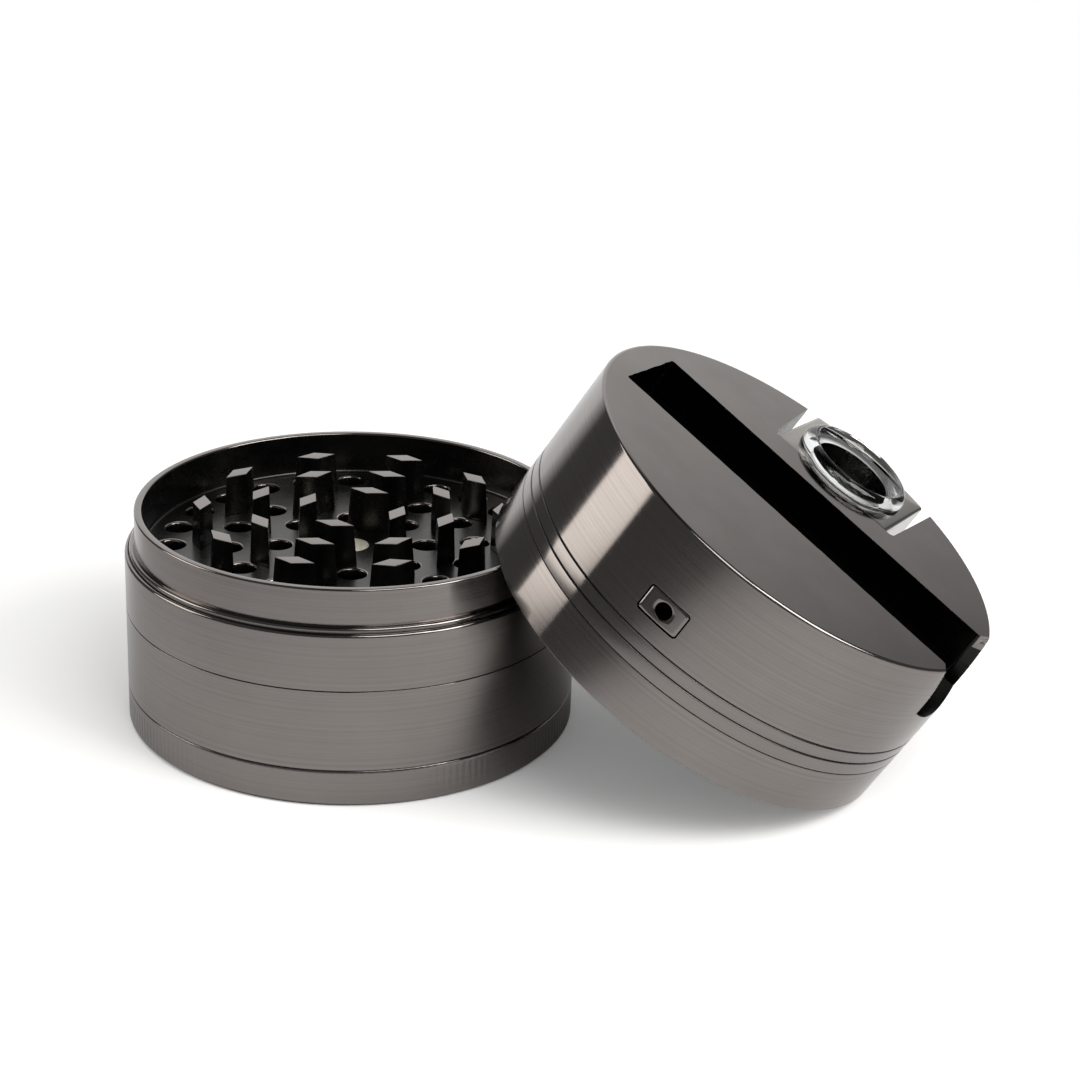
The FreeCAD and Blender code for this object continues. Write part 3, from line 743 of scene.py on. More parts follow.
def magnet_nickel(name, finish):
    """Magnet plating with faint scuffs."""
    work = Finish(name)
    place = work.place()
    clouds = work.noise(500.0, 4.0, 0.6, vector=place)
    scuffs = work.noise(4200.0, 3.0, 0.7, vector=place)
    pale = tuple(min(1.0, channel * 1.12) for channel in finish.nickel)
    colour = work.mixed(work.between(clouds, 0.35, 0.7), finish.nickel, pale)
    roughness = work.between(scuffs, 0.35, 0.7, 0.58, 0.7)
    normal = work.bump(scuffs, 0.000002)
    return work.shader({"Base Color": colour, "Metallic": 1.0, "Roughness": roughness, "Normal": normal})


def drawn_steel(name, finish):
    """Drawn steel wire, a little dull."""
    work = Finish(name)
    clouds = work.noise(900.0, 3.0, 0.6)
    dull = tuple(channel * 0.75 for channel in finish.steel)
    colour = work.mixed(work.between(clouds, 0.35, 0.7), finish.steel, dull)
    roughness = work.between(clouds, 0.3, 0.75, 0.24, 0.38)
    return work.shader({"Base Color": colour, "Metallic": 1.0, "Roughness": roughness,
                        "Normal": work.bump(clouds, 0.000004)})


def slip_nylon(name, finish):
    """Moulded nylon with a fine matt grain."""
    work = Finish(name)
    grain = work.noise(2600.0, 3.0, 0.6)
    clouds = work.noise(180.0, 3.0, 0.6)
    dark = tuple(channel * 0.86 for channel in finish.nylon)
    colour = work.mixed(work.between(clouds, 0.35, 0.7), finish.nylon, dark)
    roughness = work.between(grain, 0.3, 0.75, 0.42, 0.58)
    return work.shader({"Base Color": colour, "Roughness": roughness, "Subsurface Weight": 0.1,
                        "Subsurface Scale": 0.001, "Normal": work.bump(grain, 0.000006)})


def black_silicone(name, finish):
    """Black silicone with a soft bloom."""
    work = Finish(name)
    grain = work.noise(3200.0, 3.0, 0.6)
    bloom = work.noise(300.0, 3.0, 0.6)
    pale = tuple(channel * 2.2 for channel in finish.seal)
    colour = work.mixed(work.between(bloom, 0.4, 0.8), finish.seal, pale)
    roughness = work.between(bloom, 0.3, 0.75, 0.45, 0.62)
    return work.shader({"Base Color": colour, "Roughness": roughness, "Normal": work.bump(grain, 0.000008)})


def pressed_glass(name, finish):
    """Thick pressed glass with a slightly wavy skin."""
    work = Finish(name)
    waves = work.noise(240.0, 2.0, 0.5)
    return work.shader({"Base Color": (*finish.glass, 1.0), "Roughness": 0.0, "IOR": 1.5,
                        "Transmission Weight": 1.0, "Normal": work.bump(waves, 0.00002)})


def finish_named(name):
    """The material of that name, made the first time it is asked for."""
    known = bpy.data.materials.get(name)
    if known:
        return known
    finish = bpy.context.scene.grinder_finish
    makers = {
        "base_turned_plating": lambda: turned_plating(name, UPRIGHT_AXIS, Vector(), finish,
                                                      BASE_RING_LEVEL, BASE_GLOSS),
        "lid_turned_plating": lambda: turned_plating(name, LID_AXIS, LID_MOUTH, finish,
                                                     LID_RING_LEVEL, LID_GLOSS),
        "satin_plating": lambda: satin_plating(name, finish.gunmetal, finish.gunmetal_pale),
        "bright_plating": lambda: satin_plating(name, finish.bright, finish.bright_pale),
        "cast_plating_and_shade": lambda: cast_plating_and_shade(name, finish.cast),
        "slot_painted_shade": lambda: cast_plating_and_shade(name, finish.slot),
        "magnet_nickel": lambda: magnet_nickel(name, finish),
        "drawn_steel": lambda: drawn_steel(name, finish),
        "slip_nylon": lambda: slip_nylon(name, finish),
        "black_silicone": lambda: black_silicone(name, finish),
        "pressed_glass": lambda: pressed_glass(name, finish),
    }
    return makers[name]()


def lamp(name, azimuth, elevation, width, height, radiance, colour):
    """A soft lamp that faces the grinder. Azimuth is from +Y towards +X, in degrees."""
    light = bpy.data.lights.new(name, "AREA")
    light.shape = "RECTANGLE"
    light.size = width
    light.size_y = height
    light.energy = radiance * math.pi * width * height
    light.color = colour
    around, above = math.radians(azimuth), math.radians(elevation)
    flat = math.cos(above)
    towards = Vector((math.sin(around) * flat, math.cos(around) * flat, math.sin(above)))
    middle = (Vector(CAD_BOX[0]) + Vector(CAD_BOX[1])) / 2
    holder = bpy.data.objects.new(name, light)
    holder.location = middle + towards * LAMP_DISTANCE
    holder.rotation_euler = (-towards).to_track_quat("-Z", "Y").to_euler()
    holder.visible_camera = False
    bpy.context.scene.collection.objects.link(holder)
    return holder


class GRINDER_OT_stage(bpy.types.Operator):
    """Camera, pale floor, soft lamps and the white room round them"""

    bl_idname = "grinder.stage"
    bl_label = "Stage"

    def execute(self, context):
        stage = context.scene.grinder_stage
        self.camera(context, stage)
        self.floor(stage)
        self.room(context, stage)
        for panel in LAMPS:
            lamp(*panel)
        context.scene.view_settings.view_transform = "Standard"
        return {"FINISHED"}

    def camera(self, context, stage):
        """Camera where the photographer stood."""
        data = bpy.data.cameras.new("camera")
        data.lens = stage.camera_lens
        data.sensor_width = SENSOR_WIDE
        data.clip_start = CAMERA_NEAR
        camera = bpy.data.objects.new("camera", data)
        turn = (Matrix.Rotation(stage.camera_heading, 4, "Z")
                @ Matrix.Rotation(math.pi / 2 - stage.camera_pitch, 4, "X")
                @ Matrix.Rotation(stage.camera_roll, 4, "Z"))
        camera.matrix_world = Matrix.Translation(Vector(stage.camera_place)) @ turn
        context.scene.collection.objects.link(camera)
        context.scene.camera = camera

    def floor(self, stage):
        """Pale disc that keeps the shadow and thins out into the white room."""
        verts = [(FLOOR_R * math.cos(turn), FLOOR_R * math.sin(turn), -FLOOR_DROP)
                 for turn in even_turn(FLOOR_STEPS)]
        floor = new_piece("floor", mesh_of("floor", verts, [list(range(len(verts)))]))
        work = Finish("pale_floor")
        centre = ((CAD_BOX[0][0] + CAD_BOX[1][0]) / 2, 0.0, 0.0)
        away = work.add("ShaderNodeVectorMath", {0: work.place(), 1: centre}, operation="DISTANCE")
        away = away.outputs["Value"]
        seen = work.add("ShaderNodeLightPath").outputs["Is Camera Ray"]
        solid = work.between(away, *FLOOR_FADE, 1.0, FLOOR_LEFT, smooth=True)
        solid_seen = work.between(away, *FLOOR_FADE_SEEN, 1.0, 0.0, smooth=True)
        gain = work.maths("MULTIPLY", seen, work.maths("SUBTRACT", solid_seen, solid))
        solid = work.maths("ADD", solid, gain)
        paper = work.noise(900.0, 3.0)
        colour = work.mixed(work.between(paper, 0.3, 0.7), tuple(stage.floor_colour),
                            tuple(channel * 0.985 for channel in stage.floor_colour))
        colour = work.mixed(seen, colour, tuple(channel * stage.floor_lift for channel in stage.floor_colour))
        matt = work.add("ShaderNodeBsdfDiffuse", {"Color": colour})
        lift = work.add("ShaderNodeEmission", {"Strength": work.maths("MULTIPLY", seen, stage.shadow_lift)})
        paper_white = work.add("ShaderNodeAddShader", {0: matt.outputs[0], 1: lift.outputs[0]})
        clear = work.add("ShaderNodeBsdfTransparent")
        blend = work.add("ShaderNodeMixShader", {0: solid, 1: clear.outputs[0], 2: paper_white.outputs[0]})
        work.add("ShaderNodeOutputMaterial", {"Surface": blend.outputs[0]})
        floor.data.materials.append(work.material)

    def room(self, context, stage):
        """White to the eye; metal sees a bright sheet behind the grinder and a dim room in front."""
        world = bpy.data.worlds.new("white_room")
        world.use_nodes = True
        world.cycles.sampling_method = "NONE"
        context.scene.world = world
        work = Finish.__new__(Finish)
        work.tree = world.node_tree
        work.tree.nodes.clear()
        direction = work.add("ShaderNodeTexCoord").outputs["Generated"]
        parts = work.add("ShaderNodeSeparateXYZ", {0: direction}).outputs
        around = work.between(work.maths("ARCTAN2", parts["X"], parts["Y"]), -math.pi, math.pi)
        above = work.between(work.maths("ARCSINE", parts["Z"]), -math.pi / 2, math.pi / 2)
        sides = work.ramp(around, [((angle + 180) / 360, (grey,) * 3) for angle, grey in ROOM_SIDES])
        heights = work.ramp(above, [((angle + 90) / 180, (grey,) * 3) for angle, grey in ROOM_HEIGHTS])
        room = work.add("ShaderNodeVectorMath", {0: sides, 1: heights}, operation="MULTIPLY").outputs[0]
        path = work.add("ShaderNodeLightPath").outputs
        reflected = work.maths("MAXIMUM", path["Is Glossy Ray"], path["Is Transmission Ray"])
        even = work.add("ShaderNodeBackground", {"Color": (1.0, 1.0, 1.0, 1.0), "Strength": stage.ambient})
        mirrored = work.add("ShaderNodeBackground", {"Color": room, "Strength": 1.0})
        white = work.add("ShaderNodeBackground", {"Color": (1.0, 1.0, 1.0, 1.0), "Strength": 1.0})
        blend = work.add("ShaderNodeMixShader", {0: reflected, 1: even.outputs[0], 2: mirrored.outputs[0]})
        seen = path["Is Camera Ray"]
        blend = work.add("ShaderNodeMixShader", {0: seen, 1: blend.outputs[0], 2: white.outputs[0]})
        work.add("ShaderNodeOutputWorld", {"Surface": blend.outputs[0]})


class GRINDER_OT_kief_tray(bpy.types.Operator):
    """Reeded tray with a threaded bore"""

    bl_idname = "grinder.kief_tray"
    bl_label = "Kief tray"

    def execute(self, context):
        sizes = context.scene.grinder_sizes
        wall = sizes.outer_r
        top = sizes.tray_top - SEAM_GAP
        bore = sizes.spigot_r + EASY_GAP
        fillet_z = TRAY_FLOOR + FLOOR_FILLET
        thread_top = top - SPIGOT_CHAMFER
        outline = [(0, 0), (wall - FOOT_CHAMFER, 0), (wall, FOOT_CHAMFER), (wall, REED_LOW),
                   (wall, REED_LOW + REED_RUN_OUT), (wall, REED_HIGH - REED_RUN_OUT), (wall, REED_HIGH),
                   (wall, top - SEAM_CHAMFER), (wall - SEAM_CHAMFER, top), (bore + SPIGOT_CHAMFER, top),
                   *thread_rows(bore, thread_top, fillet_z + EDGE_EASE),
                   *arc((bore - FLOOR_FILLET, fillet_z), FLOOR_FILLET, 0, -90), (0, TRAY_FLOOR)]
        pitch = FULL_TURN / sizes.reed_count
        angles = [pitch * (reed + point) for reed in range(sizes.reed_count) for point in REED_POINTS]
        bottoms = {angles[index] for index in range(REED_BOTTOM, len(angles), len(REED_POINTS))}
        thread = threaded((bore, fillet_z, thread_top, THREAD_DEPTH))

        def reach(radius, height, angle):
            if abs(radius - wall) < TINY and angle in bottoms and REED_LOW < height < REED_HIGH:
                inside = min(height - REED_LOW, REED_HIGH - height)
                return radius - sizes.reed_depth * min(1.0, (inside + TINY) / REED_RUN_OUT)
            return thread(radius, height, angle)

        piece = new_piece("kief_tray_reeded", turned_mesh("kief_tray_reeded", outline, angles, reach))
        dressed(piece, [finish_named("base_turned_plating"), finish_named("satin_plating")],
                lambda centre, normal: 1 if abs(normal.z) > EASED_TILT else 0)
        to_frame(piece, "kief_tray")
        return {"FINISHED"}


class GRINDER_OT_collection_chamber(bpy.types.Operator):
    """Plain sleeve with a threaded spigot at each end"""

    bl_idname = "grinder.collection_chamber"
    bl_label = "Collection chamber"

    def execute(self, context):
        sizes = context.scene.grinder_sizes
        wall, spigot = sizes.outer_r, sizes.spigot_r
        foot, top = sizes.tray_top + SEAM_GAP, sizes.collection_top - SEAM_GAP
        ease = spigot - SPIGOT_CHAMFER
        low_foot, low_top = LOWER_SPIGOT_FOOT + SPIGOT_CHAMFER, foot - EDGE_EASE
        high_foot, high_top = top + EDGE_EASE, UPPER_SPIGOT_TOP - SPIGOT_CHAMFER
        slope_top = SIEVE_LEDGE_TOP + COLLECTION_BORE_R - SIEVE_LEDGE_R
        outline = [(SIEVE_RECESS_R, LOWER_SPIGOT_FOOT), (ease, LOWER_SPIGOT_FOOT),
                   *thread_rows(spigot, low_foot, low_top), (spigot, foot),
                   (wall - SEAM_CHAMFER, foot), (wall, foot + SEAM_CHAMFER), (wall, top - SEAM_CHAMFER),
                   (wall - SEAM_CHAMFER, top), (spigot, top),
                   *thread_rows(spigot, high_foot, high_top), (ease, UPPER_SPIGOT_TOP),
                   (COLLECTION_BORE_R + EDGE_EASE, UPPER_SPIGOT_TOP),
                   (COLLECTION_BORE_R, UPPER_SPIGOT_TOP - EDGE_EASE), (COLLECTION_BORE_R, slope_top),
                   (SIEVE_LEDGE_R, SIEVE_LEDGE_TOP), (SIEVE_LEDGE_R, SIEVE_LEDGE_Z),
                   (SIEVE_RECESS_R, SIEVE_LEDGE_Z)]
        thread = threaded((spigot, low_foot, low_top, -THREAD_DEPTH),
                          (spigot, high_foot, high_top, -THREAD_DEPTH))
        piece = new_piece("collection_sleeve", turned_mesh("collection_sleeve", outline, shape=thread))
        dressed(piece, [finish_named("base_turned_plating"), finish_named("satin_plating")],
                lambda centre, normal: 1 if abs(normal.z) > EASED_TILT else 0)
        to_frame(piece, "collection_chamber")
        return {"FINISHED"}


class GRINDER_OT_sieve(bpy.types.Operator):
    """Woven sieve in its flat rim, and the split ring that holds it up"""

    bl_idname = "grinder.sieve"
    bl_label = "Sieve and ring"

    def execute(self, context):
        sizes = context.scene.grinder_sizes
        top = SIEVE_LEDGE_Z - CLOSE_GAP
        low = top - SIEVE_THICK
        section = [(SIEVE_RIM_R, low), (SIEVE_R, low), (SIEVE_R, top), (SIEVE_RIM_R, top)]
        rim = turned_mesh("sieve_rim", section)
        cloth = self.cloth(sizes, (low + top) / 2)
        sieve = new_piece("sieve_cloth", joined("sieve_cloth", [rim, cloth]))
        dressed(sieve, [finish_named("drawn_steel")])
        to_frame(sieve, "sieve_screen")
        self.split_ring(low - CLOSE_GAP)
        return {"FINISHED"}

    def cloth(self, sizes, level):
        """Plain weave: each wire passes over one crossing wire and under the next."""
        pitch, radius = sizes.sieve_pitch, sizes.sieve_wire / 2
        swing = SIEVE_THICK / 2 - radius
        reach = int(SIEVE_RIM_R / pitch)
        sides = even_turn(WIRE_SIDES)
        verts, faces = [], []
        for crosswise in (False, True):
            for line in range(-reach, reach + 1):
                half = math.sqrt(max(0.0, (SIEVE_RIM_R + pitch) ** 2 - (line * pitch) ** 2))
                crossings = range(-int(half / pitch), int(half / pitch) + 1)
                previous = None
                for crossing in crossings:
                    over = 1 if (line + crossing + crosswise) % 2 else -1
                    along, aside = crossing * pitch, line * pitch
                    if math.hypot(along, aside) > SIEVE_R - radius:
                        continue
                    ring = range(len(verts), len(verts) + WIRE_SIDES)
                    for side in sides:
                        out, lift = radius * math.cos(side), over * swing + radius * math.sin(side)
                        point = (along, aside + out, level + lift)
                        verts.append((point[1], point[0], point[2]) if crosswise else point)
                    if previous:
                        for step in range(WIRE_SIDES):
                            after = (step + 1) % WIRE_SIDES
                            faces.append([previous[step], previous[after], ring[after], ring[step]])
                    else:
                        faces.append(list(ring))
                    previous = ring
                if previous:
                    faces.append(list(previous)[::-1])
        return mesh_of("sieve_wires", verts, faces)

    def split_ring(self, top):
        """Flat spring ring with a gap at one side."""
        half_gap = math.asin(RING_SPLIT / 2 / SIEVE_R)
        section = rounded_rectangle((RING_INNER_R, top - RING_THICK), (SIEVE_R, top), EDGE_EASE, 2)
        verts, faces = [], []
        for step in range(RING_STEPS + 1):
            angle = math.pi + half_gap + (FULL_TURN - 2 * half_gap) * step / RING_STEPS
            verts += [(radius * math.cos(angle), radius * math.sin(angle), height)
                      for radius, height in section]
        count = len(section)
        for step in range(RING_STEPS):
            here, after = step * count, (step + 1) * count
            for side in range(count):
                other = (side + 1) % count
                faces.append([here + side, here + other, after + other, after + side])
        faces += [list(range(count)), list(range(RING_STEPS * count, (RING_STEPS + 1) * count))[::-1]]
        ring = new_piece("sieve_spring_ring", mesh_of("sieve_spring_ring", verts, faces))
        dressed(ring, [finish_named("drawn_steel")])
        to_frame(ring, "screen_ring")


class GRINDER_OT_grinding_chamber(bpy.types.Operator):
    """Upper section with its shoulder, collar and drilled floor"""

    bl_idname = "grinder.grinding_chamber"
    bl_label = "Grinding chamber"

    def execute(self, context):
        sizes = context.scene.grinder_sizes
        wall, floor = sizes.outer_r, sizes.chamber_floor
        foot = sizes.collection_top + SEAM_GAP
        bore = sizes.spigot_r + EASY_GAP
        inner = sizes.collar_r - COLLAR_WALL
        under = floor - CHAMBER_FLOOR_THICK
        rim = sizes.collar_top - RIM_EASE
        fillet = arc((inner - FLOOR_FILLET, floor + FLOOR_FILLET), FLOOR_FILLET, 0, -90)
        thread_low, thread_high = foot + SPIGOT_CHAMFER, SKIRT_TOP - EDGE_EASE
        outline = [(0, under), (SKIRT_STEP_R, under), (SKIRT_STEP_R, SKIRT_TOP), (bore, SKIRT_TOP),
                   *thread_rows(bore, thread_high, thread_low), (bore + SPIGOT_CHAMFER, foot),
                   (wall - SEAM_CHAMFER, foot), (wall, foot + SEAM_CHAMFER), *self.shoulder(sizes),
                   *arc((sizes.collar_r - RIM_EASE, rim), RIM_EASE, 0, 90, 4),
                   *arc((inner + RIM_EASE, rim), RIM_EASE, 90, 180, 4), *fillet, (0, floor)]
        thread = threaded((bore, thread_low, thread_high, THREAD_DEPTH))
        mesh = turned_mesh("grinding_chamber_drilled", outline, shape=thread)
        piece = new_piece("grinding_chamber_drilled", mesh)
        holes = [self.hole(sizes, radius, azimuth, under, floor)
                 for radius, azimuth in ring_places(FLOOR_HOLE_RINGS)]
        pocket = rod_mesh("pocket", sizes.magnet_r + CLOSE_GAP, (0, 0, floor - MAGNET_THICK),
                          (0, 0, floor + OVERSHOOT))
        carved(piece, [joined("holes", holes), pocket])

        def pick(centre, normal):
            reach = math.hypot(centre.x, centre.y)
            if reach < inner + TINY and centre.z > under - EDGE_EASE:
                eased_hole = reach < inner - FLOOR_FILLET and 0.3 < normal.z < FLAT_TILT
                return 1 if eased_hole else 2
            return 1 if abs(normal.z) > EASED_TILT else 0

        dressed(piece, [finish_named("base_turned_plating"), finish_named("satin_plating"),
                        finish_named("cast_plating_and_shade")], pick)
        to_frame(piece, "grinding_chamber")
        return {"FINISHED"}

    def shoulder(self, sizes):
        """Outline of the shoulder: rounded edge, fine groove, bead and the groove at the collar's foot."""
        level = sizes.shoulder_z
        edge = (sizes.outer_r - SHOULDER_ROUND, level - SHOULDER_ROUND)
        groove_r = edge[0] - SHOULDER_GROOVE / 2
        bead_r = groove_r - SHOULDER_GROOVE / 2
        bead = (bead_r - BEAD_ROUND, level + BEAD_RISE)
        return [*arc(edge, SHOULDER_ROUND, 0, 90, 8), (groove_r, level - SHOULDER_GROOVE), (bead_r, level),
                *arc(bead, BEAD_ROUND, 0, 110, 8), (sizes.collar_r, COLLAR_FOOT - SHOULDER_GROOVE)]

    def hole(self, sizes, radius, azimuth, under, floor):
        """Cutter for one eased hole."""
        bore, over = sizes.floor_hole_r, OVERSHOOT
        outline = [(0, under - over), (bore, under - over), (bore, floor - HOLE_EASE),
                   (bore + HOLE_EASE + over, floor + over), (0, floor + over)]
        centre = (radius * math.cos(azimuth), radius * math.sin(azimuth))
        return turned_mesh("hole", outline, even_turn(SMALL_STEPS), centre=centre)


class GRINDER_OT_teeth(bpy.types.Operator):
    """Diamond teeth of the chamber floor and of the lid"""

    bl_idname = "grinder.teeth"
    bl_label = "Teeth"

    def execute(self, context):
        sizes = context.scene.grinder_sizes
        chamber = self.row("chamber_diamonds", sizes, CHAMBER_RINGS, sizes.chamber_floor, sizes.tooth_top)
        to_frame(chamber, "chamber_teeth")
        lid = self.row("lid_diamonds", sizes, LID_RINGS, LID_CEILING, LID_TOOTH_TIP)
        to_frame(lid, "lid_teeth", leaning=True)
        return {"FINISHED"}

    def row(self, name, sizes, rings, root, tip):
        """All the teeth of one side, drafted towards their tips, with eased edges."""
        wide, long = sizes.tooth_half_wide, sizes.tooth_half_long
        teeth = []
        for radius, azimuth in ring_places(rings):
            sections = [[(radius - scale * wide, 0, height), (radius, -scale * long, height),
                         (radius + scale * wide, 0, height), (radius, scale * long, height)]
                        for scale, height in ((TOOTH_DRAFT, root), (1.0, tip))]
            tooth = ringed_mesh("tooth", sections, flat_ends=True)
            tooth.transform(Matrix.Rotation(azimuth, 4, "Z"))
            teeth.append(tooth)
        piece = eased(new_piece(name, joined(name, teeth)), TOOTH_BEVEL)
        return dressed(piece, [finish_named("cast_plating_and_shade"), finish_named("satin_plating")],
                       lambda centre, normal: 1 if abs(normal.z) > FLAT_TILT else 0)


class GRINDER_OT_lid_tooth_ring(bpy.types.Operator):
    """Lower lid with its mouth, ceiling and magnet post"""

    bl_idname = "grinder.lid_tooth_ring"
    bl_label = "Lid tooth ring"

    def execute(self, context):
        sizes = context.scene.grinder_sizes
        wall = sizes.outer_r
        pocket = sizes.magnet_r + CLOSE_GAP
        top = LID_PARTING - SEAM_GAP / 2
        pocket_top = POST_TIP + LID_MAGNET_THICK
        outline = [(0, pocket_top), (pocket, pocket_top), (pocket, POST_TIP),
                   (POST_R - RIM_EASE, POST_TIP), (POST_R, POST_TIP + RIM_EASE),
                   *arc((POST_R + RIM_EASE, LID_CEILING - RIM_EASE), RIM_EASE, 180, 90, 4),
                   (SKIRT_STEP_R, LID_CEILING), (SKIRT_STEP_R, SLIP_LEDGE), (LID_BORE_R, SLIP_LEDGE),
                   (LID_BORE_R, MOUTH_CHAMFER_TOP), (MOUTH_CHAMFER_R, 0),
                   *arc((wall - MOUTH_EASE, MOUTH_EASE), MOUTH_EASE, -90, 0, 4),
                   (wall, top - SEAM_CHAMFER), (wall - SEAM_CHAMFER, top), (LID_SPIGOT_R, top),
                   (LID_SPIGOT_R, LID_SPIGOT_TOP), (0, LID_SPIGOT_TOP)]
        piece = new_piece("lid_skirt", turned_mesh("lid_skirt", outline))

        def pick(centre, normal):
            # The parting seam's chamfer gets the dark plating as painted shade in the seam; the skirt's
            # insides take the dark plating too.
            if centre.z > top - SEAM_CHAMFER:
                return 2
            if abs(normal.z) > FLAT_TILT:
                return 1
            return 2 if math.hypot(centre.x, centre.y) < SKIRT_STEP_R else 0

        dressed(piece, [finish_named("lid_turned_plating"), finish_named("satin_plating"),
                        finish_named("cast_plating_and_shade")], pick)
        to_frame(piece, "lid_tooth_ring", leaning=True)
        return {"FINISHED"}


def bar_mesh(name, grow, start, end):
    """Flat rounded bar along the lid's bowl side, at the air passage's height."""
    half_wide, half_high = MOUTH_HALF_WIDE + grow, MOUTH_HALF_HIGH + grow
    points = rounded_rectangle((-half_wide, -half_high), (half_wide, half_high), MOUTH_CORNER + grow)
    mesh = prism_mesh(name, points, 0.0, end - start)
    mesh.transform(Matrix.Translation((AIR_X, start, AIR_Z)) @ Matrix.Rotation(-math.pi / 2, 4, "X"))
    return mesh


def magnet_pair(name, radius, start, end, ease=0.0):
    """Two rods along the lid's bowl side, either side of the air passage."""
    rods = []
    for side in (-1, 1):
        x = BOWL_X + side * PAIR_MAGNET_X
        rods.append(rod_mesh(name, radius, (x, start, PAIR_MAGNET_Z), (x, end, PAIR_MAGNET_Z), ease))
    return joined(name, rods)


class GRINDER_OT_lid_cap(bpy.types.Operator):
    """Upper lid with its grooves, storage slot, finger scoop, bowl notch and mouthpiece channel"""

    bl_idname = "grinder.lid_cap"
    bl_label = "Lid cap"

    def execute(self, context):
        sizes = context.scene.grinder_sizes
        top = sizes.lid_height
        piece = new_piece("lid_crown", turned_mesh("lid_crown", self.outline(sizes)))
        far = 2 * sizes.outer_r
        slot = rounded_rectangle((SLOT_CLOSED_END, SLOT_NEAR), (far, SLOT_FAR), SLOT_CORNER)
        slot = divided(slot, SLOT_NICK_STEP, SLOT_NICK, SLOT_NICK_SEED)
        notch = rounded_rectangle((NOTCH_LEFT, NOTCH_WALL_Y), (NOTCH_RIGHT, far), NOTCH_CORNER)
        notch = [(x + (NOTCH_RIGHT_SLANT if x > BOWL_X else NOTCH_LEFT_SLANT) * (y - NOTCH_WALL_Y), y)
                 for x, y in notch]
        cutters = [
            prism_mesh("slot", slot, top - sizes.slot_depth, top + OVERSHOOT),
            self.scoop(sizes),
            prism_mesh("notch", notch, NOTCH_FLOOR, top + OVERSHOOT),
            bar_mesh("channel", MOUTH_GAP, -far, MOUTH_INNER_END + MOUTH_GAP),
            rod_mesh("passage", AIR_R, (AIR_X, MOUTH_INNER_END, AIR_Z),
                     (AIR_X, NOTCH_WALL_Y + OVERSHOOT, AIR_Z)),
            rod_mesh("seal_seat", AIR_SEAL_OUTER_R + CLOSE_GAP, (AIR_X, NOTCH_WALL_Y - AIR_SEAL_THICK, AIR_Z),
                     (AIR_X, NOTCH_WALL_Y + OVERSHOOT, AIR_Z)),
            rod_mesh("pin_hole", PIN_R + CLOSE_GAP, (AIR_X, PIN_Y, LID_PARTING), (AIR_X, PIN_Y, AIR_Z)),
            magnet_pair("magnet_seats", PAIR_MAGNET_R + CLOSE_GAP, NOTCH_WALL_Y - PAIR_MAGNET_THICK,
                        NOTCH_WALL_Y + OVERSHOOT),
        ]
        carved(piece, cutters)
        eased(piece, FINE_BEVEL)
        wall = sizes.outer_r - GROOVE_DEPTH - EDGE_EASE
        groove_r = sizes.outer_r - GROOVE_LIP / 4
        # Material slots: the turned wall, satin flats, the slot colour as painted shade, the notch's bright
        # plating, and the dark plating as painted shade in the grooves and the parting seam.
        turned, satin, dark, bright, groove = range(5)

        def pick(centre, normal):
            reach = math.hypot(centre.x, centre.y)
            # Groove faces and the parting seam's chamfer are painted dark as shade.
            in_shaded_groove = any(abs(centre.z - height) < 2 * GROOVE_HALF for height in GROOVES)
            if reach < groove_r and (in_shaded_groove or centre.z < LID_PARTING + 2 * SEAM_CHAMFER):
                return groove
            if reach > wall and abs(normal.z) < FLAT_TILT:
                return turned
            if normal.z > 0.3 and centre.z > top - EDGE_EASE:
                return satin
            # The notch's side wall facing the block gets the slot colour as painted shade; the rest of the
            # notch takes the bright plating.
            if centre.y > NOTCH_WALL_Y - EDGE_EASE and centre.z > NOTCH_FLOOR - EDGE_EASE:
                return dark if normal.x > 0.5 else bright
            # Inside the slot and the scoop the slot colour is painted shade, except the scoop's top band,
            # which keeps the plain satin plating.
            in_slot = SLOT_NEAR - EDGE_EASE < centre.y < SLOT_FAR + EDGE_EASE
            flared = centre.x > SCOOP_START and not in_slot
            return satin if flared and centre.z > top - SCOOP_UNSHADED_BAND else dark

        dressed(piece, [finish_named("lid_turned_plating"), finish_named("satin_plating"),
                        finish_named("slot_painted_shade"), finish_named("bright_plating"),
                        finish_named("cast_plating_and_shade")], pick)
        to_frame(piece, "lid_cap", leaning=True)
        return {"FINISHED"}

    def outline(self, sizes):
        """Outline of the cap, with two grooves and a recess for the lower lid's spigot."""
        wall, top = sizes.outer_r, sizes.lid_height
        foot = LID_PARTING + SEAM_GAP / 2
        recess_r, recess_top = LID_SPIGOT_R + 2 * CLOSE_GAP, LID_SPIGOT_TOP + CLOSE_GAP
        points = [(0, recess_top), (recess_r, recess_top), (recess_r, foot), (wall - SEAM_CHAMFER, foot),
                  (wall, foot + SEAM_CHAMFER)]
        for height in GROOVES:
            points += [(wall, height - GROOVE_HALF - GROOVE_LIP),
                       (wall - GROOVE_LIP, height - GROOVE_HALF + GROOVE_LIP),
                       (wall - GROOVE_DEPTH, height - GROOVE_LIP), (wall - GROOVE_DEPTH, height + GROOVE_LIP),
                       (wall - GROOVE_LIP, height + GROOVE_HALF - GROOVE_LIP),
                       (wall, height + GROOVE_HALF + GROOVE_LIP)]
        return [*points, *arc((wall - LID_TOP_EASE, top - LID_TOP_EASE), LID_TOP_EASE, 0, 90, 4), (0, top)]

